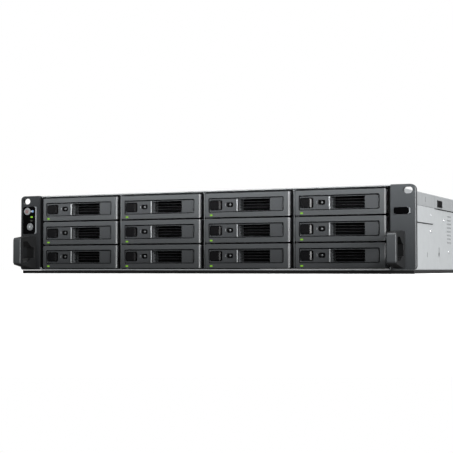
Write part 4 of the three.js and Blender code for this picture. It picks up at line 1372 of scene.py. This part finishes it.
# near-black for the button's and the lock's wells: painted shade
WELL_PAINTED_SHADE = moulded("well_painted_shade", (0.002, 0.002, 0.0022), 0.5, mottle=0.1, shine=0.2)
# the hollow's left wall, dark as painted shade
WALL_PAINTED_SHADE = moulded("wall_painted_shade", (0.026, 0.027, 0.0285), 0.5, mottle=0.1, shine=0.2)
# light grey for the rib and the mark by the lock: a painted highlight
RIB_PAINTED_HIGHLIGHT = moulded("rib_painted_highlight", (0.215, 0.226, 0.233), 0.35, mottle=0.05)
SLAT_BLACK = moulded("slat_black", (0.016, 0.017, 0.018), 0.4)
LEVER_X = (-0.0453, 0.0419)
LEVER_Z = (0.0062, 0.0201)
LEVER_Y = (0.001, 0.0085)
HINGE_RADIUS = 0.0014
HOLLOW_Y = 0.005
RIB_RADIUS = 0.0010
RIB_X = -0.0119
WALL_X = -0.0110
BUTTON_X = (-0.0443, -0.0308)
BUTTON_Z = (0.0087, 0.0180)
BUTTON_WELL = 0.0073
LOCK = (-0.0206, 0.01365)
LOCK_HALF = (0.0041, 0.0027)
LOCK_WELL = 0.0034
LOCK_BARREL = 0.0011


def lock_outline(inset):
    """The lock's rounded opening, drawn in by an inset."""
    (x, z), (half_x, half_z) = LOCK, LOCK_HALF
    return rounded((x - half_x + inset, x + half_x - inset), (z - half_z + inset, z + half_z - inset),
                   0.0018 - inset, 4)


def pull_lever():
    hinge_x = LEVER_X[1] - HINGE_RADIUS
    turn = [math.radians(-90 + 22.5 * i) for i in range(9)]
    hinge_end = [
        (hinge_x + HINGE_RADIUS * math.cos(t), LEVER_Y[0] + HINGE_RADIUS * (1 + math.sin(t))) for t in turn
    ]
    plan = [(LEVER_X[0], LEVER_Y[0]), *hinge_end, (hinge_x, LEVER_Y[1]),
            (LEVER_X[0] + 0.0008, LEVER_Y[1]), (LEVER_X[0], LEVER_Y[1] - 0.0008)]
    face = slab([rounded(LEVER_X, LEVER_Z, (0.0006, 0.0016, 0.0016, 0.0006), 4)], (-0.01, 0.02))
    body = carved(slab([plan], (0, 0.03), ALONG_Z), face, "INTERSECT")
    floor_y = HOLLOW_Y + 0.0006
    hollow_plan = [(WALL_X, -0.001), (WALL_X, 0.0020), (AIR_X[0] - 0.0002, floor_y),
                   (AIR_X[1], floor_y), (AIR_X[1], -0.001)]
    hollow_side = [(-0.001, 0.0060), (floor_y, AIR_Z[0]), (floor_y, AIR_Z[1]), (-0.001, AIR_Z[1])]
    hollow = carved(
        slab([hollow_plan], (LEVER_Z[0] - 0.001, LEVER_Z[1] - 0.0006), ALONG_Z),
        slab([hollow_side], (-0.1, 0.1), ALONG_X), "INTERSECT",
    )
    air = block(AIR_X, (HOLLOW_Y - 0.001, 0.02), AIR_Z)
    button_well = slab([rounded((LEVER_X[0] + 0.0002, BUTTON_X[1] + 0.0011),
                                (BUTTON_Z[0] - 0.0009, BUTTON_Z[1] + 0.0009), 0.0020, 4)],
                       (-0.01, BUTTON_WELL))
    lock_well = slab([lock_outline(0)], (-0.01, LOCK_WELL))
    body = softened(carved(body, button_well), 0.00022, 2)
    return carved(carved(carved(body, hollow), air), lock_well)


def lever_rib():
    """The rib along the hollow's left edge, and a short one beside the lock; their light grey is a painted
    highlight.
    """
    tall = LEVER_Z[1] - LEVER_Z[0] - 0.0002
    rib = moved(
        turned([(0, 0), (RIB_RADIUS, 0.0002), (RIB_RADIUS, tall - 0.0002), (0, tall)], 16, ALONG_Z),
        (RIB_X, LEVER_Y[0] + 0.0003, LEVER_Z[0] + 0.0001),
    )
    mark = softened(block((LOCK[0] - 0.0056, LOCK[0] - 0.0050), (LEVER_Y[0] - 0.0002, LEVER_Y[0] + 0.0004),
                          (LOCK[1] - 0.0014, LOCK[1] + 0.0014)), 0.0002, 2)
    return gathered(rib, mark)


def lever_wall():
    """A dark lining on the hollow's sloping left wall: painted shade."""
    plan = [(WALL_X - 0.0001, 0.0008), (WALL_X + 0.0002, 0.0008), (WALL_X + 0.0002, 0.0018),
            (AIR_X[0], LEVER_Y[1]), (AIR_X[0] - 0.0004, LEVER_Y[1]),
            (WALL_X - 0.0001, 0.0022)]
    return slab([plan], (LEVER_Z[0] + 0.0007, LEVER_Z[1] - 0.0007), ALONG_Z)


def corner_pins():
    """Two small bright pin heads at the lever's left corners."""
    head = turned([(0, -0.0002), (0.0004, -0.0001), (0.0005, 0.0002), (0, 0.0002)], 12)
    heights = (LEVER_Z[0] + 0.0009, LEVER_Z[1] - 0.0009)
    return copied(head, [(LEVER_X[0] + 0.0008, LEVER_Y[0], z) for z in heights])


def button_frame():
    """The black frame set back round the button: painted shade in its well."""
    outer = rounded((LEVER_X[0] + 0.0003, BUTTON_X[1] + 0.0010),
                    (BUTTON_Z[0] - 0.0008, BUTTON_Z[1] + 0.0008), 0.0019, 4)
    inner = rounded((BUTTON_X[0] - 0.0002, BUTTON_X[1] + 0.0002),
                    (BUTTON_Z[0] - 0.0002, BUTTON_Z[1] + 0.0002), 0.0016, 4)
    return slab([outer, inner], (0.0026, BUTTON_WELL - 0.0001))


def lever_slats():
    slat = block(AIR_X, (HOLLOW_Y - 0.0006, 0.0078), (-0.00025, 0.00025), 0.0001, 1)
    return copied(slat, [(0, 0, z) for z in SLAT_Z])


def lock_lining():
    """The black socket of the lock, round the barrel: painted shade in the lock's well."""
    rings = [lock_outline(0.0001), circle(*LOCK, LOCK_BARREL + 0.00015, 20)]
    return softened(slab(rings, (LOCK_WELL - 0.001, LOCK_WELL)), 0.0001, 1)


def lock_barrel():
    barrel = turned(
        [(0, 0.0013), (LOCK_BARREL - 0.0005, 0.0013), (LOCK_BARREL, 0.0018), (LOCK_BARREL, LOCK_WELL),
         (0, LOCK_WELL)], 20,
    )
    keyway = block((-0.0002, 0.0002), (-0.01, 0.0018), (-0.0006, 0.0006))
    return moved(carved(barrel, keyway), (LOCK[0], 0, LOCK[1]))


lever_meshes = {
    "pull_lever": (to_mesh(pull_lever(), "pull_lever"), LEVER_GREY, "lever_plastic"),
    "button_frame": (to_mesh(button_frame(), "button_frame"), WELL_PAINTED_SHADE, "black_plastic"),
    "lever_rib": (to_mesh(lever_rib(), "lever_rib"), RIB_PAINTED_HIGHLIGHT, "lever_plastic"),
    "lever_wall": (to_mesh(lever_wall(), "lever_wall"), WALL_PAINTED_SHADE, "black_plastic"),
    "lever_slats": (to_mesh(lever_slats(), "lever_slats"), SLAT_BLACK, "black_plastic"),
    "corner_pins": (to_mesh(corner_pins(), "corner_pins"), PLATED, "steel_sheet"),
    "lock_lining": (to_mesh(lock_lining(), "lock_lining"), WELL_PAINTED_SHADE, "black_plastic"),
    "lock_barrel": (to_mesh(lock_barrel(), "lock_barrel"), KEY_GREY, "steel_sheet"),
}
for number, (low, high) in enumerate(tray_boxes, 1):
    origin = ((low.x + high.x) / 2, low.y, low.z)
    for part, (mesh, finish, slot) in lever_meshes.items():
        stands_for = (f"tray_lever_{number}",) if part == "pull_lever" else ()
        piece(f"{part}_{number}", mesh, f"lever_{number}", finish, stands_for, origin)

# ---- Release buttons ----------------------------------------------------------------------------
# A glossy black push button at the left of each lever. Its right-hand third rounds off into a slope,
# which catches the light. All twelve are the same moulding.

BUTTON_BLACK = moulded("button_black", (0.006, 0.006, 0.0065), 0.2, grain=600, depth=0.000004,
                       mottle=0.1, shine=0.22)
BUTTON_FRONT, BUTTON_BACK = 0.0008, 0.0051
CURVE_X = BUTTON_X[1] - 0.0046
CURVE_WIDE = 0.0016
SLOPE = 0.86
curve = [
    (CURVE_X + CURVE_WIDE * t, BUTTON_FRONT + SLOPE * CURVE_WIDE / 2 * t * t)
    for t in [i / 5 for i in range(6)]
]
curve.append((BUTTON_X[1], curve[-1][1] + SLOPE * (BUTTON_X[1] - curve[-1][0])))
button_plan = [(BUTTON_X[0], BUTTON_BACK), (BUTTON_X[0], BUTTON_FRONT + 0.0006),
               (BUTTON_X[0] + 0.0003, BUTTON_FRONT + 0.0001), (BUTTON_X[0] + 0.0008, BUTTON_FRONT),
               *curve, (BUTTON_X[1], BUTTON_BACK)]
button_shape = softened(carved(
    slab([rounded(BUTTON_X, BUTTON_Z, 0.0015, 4)], (0.0002, BUTTON_BACK)),
    slab([button_plan], (-0.01, 0.04), ALONG_Z), "INTERSECT",
), 0.0003, 2, 40)
button_mesh = to_mesh(button_shape, "release_button_cap")
for number, (low, high) in enumerate(tray_boxes, 1):
    piece(f"button_cap_{number}", button_mesh, f"button_{number}", BUTTON_BLACK,
          (f"release_button_{number}",), ((low.x + high.x) / 2, low.y, low.z))

low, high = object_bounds()
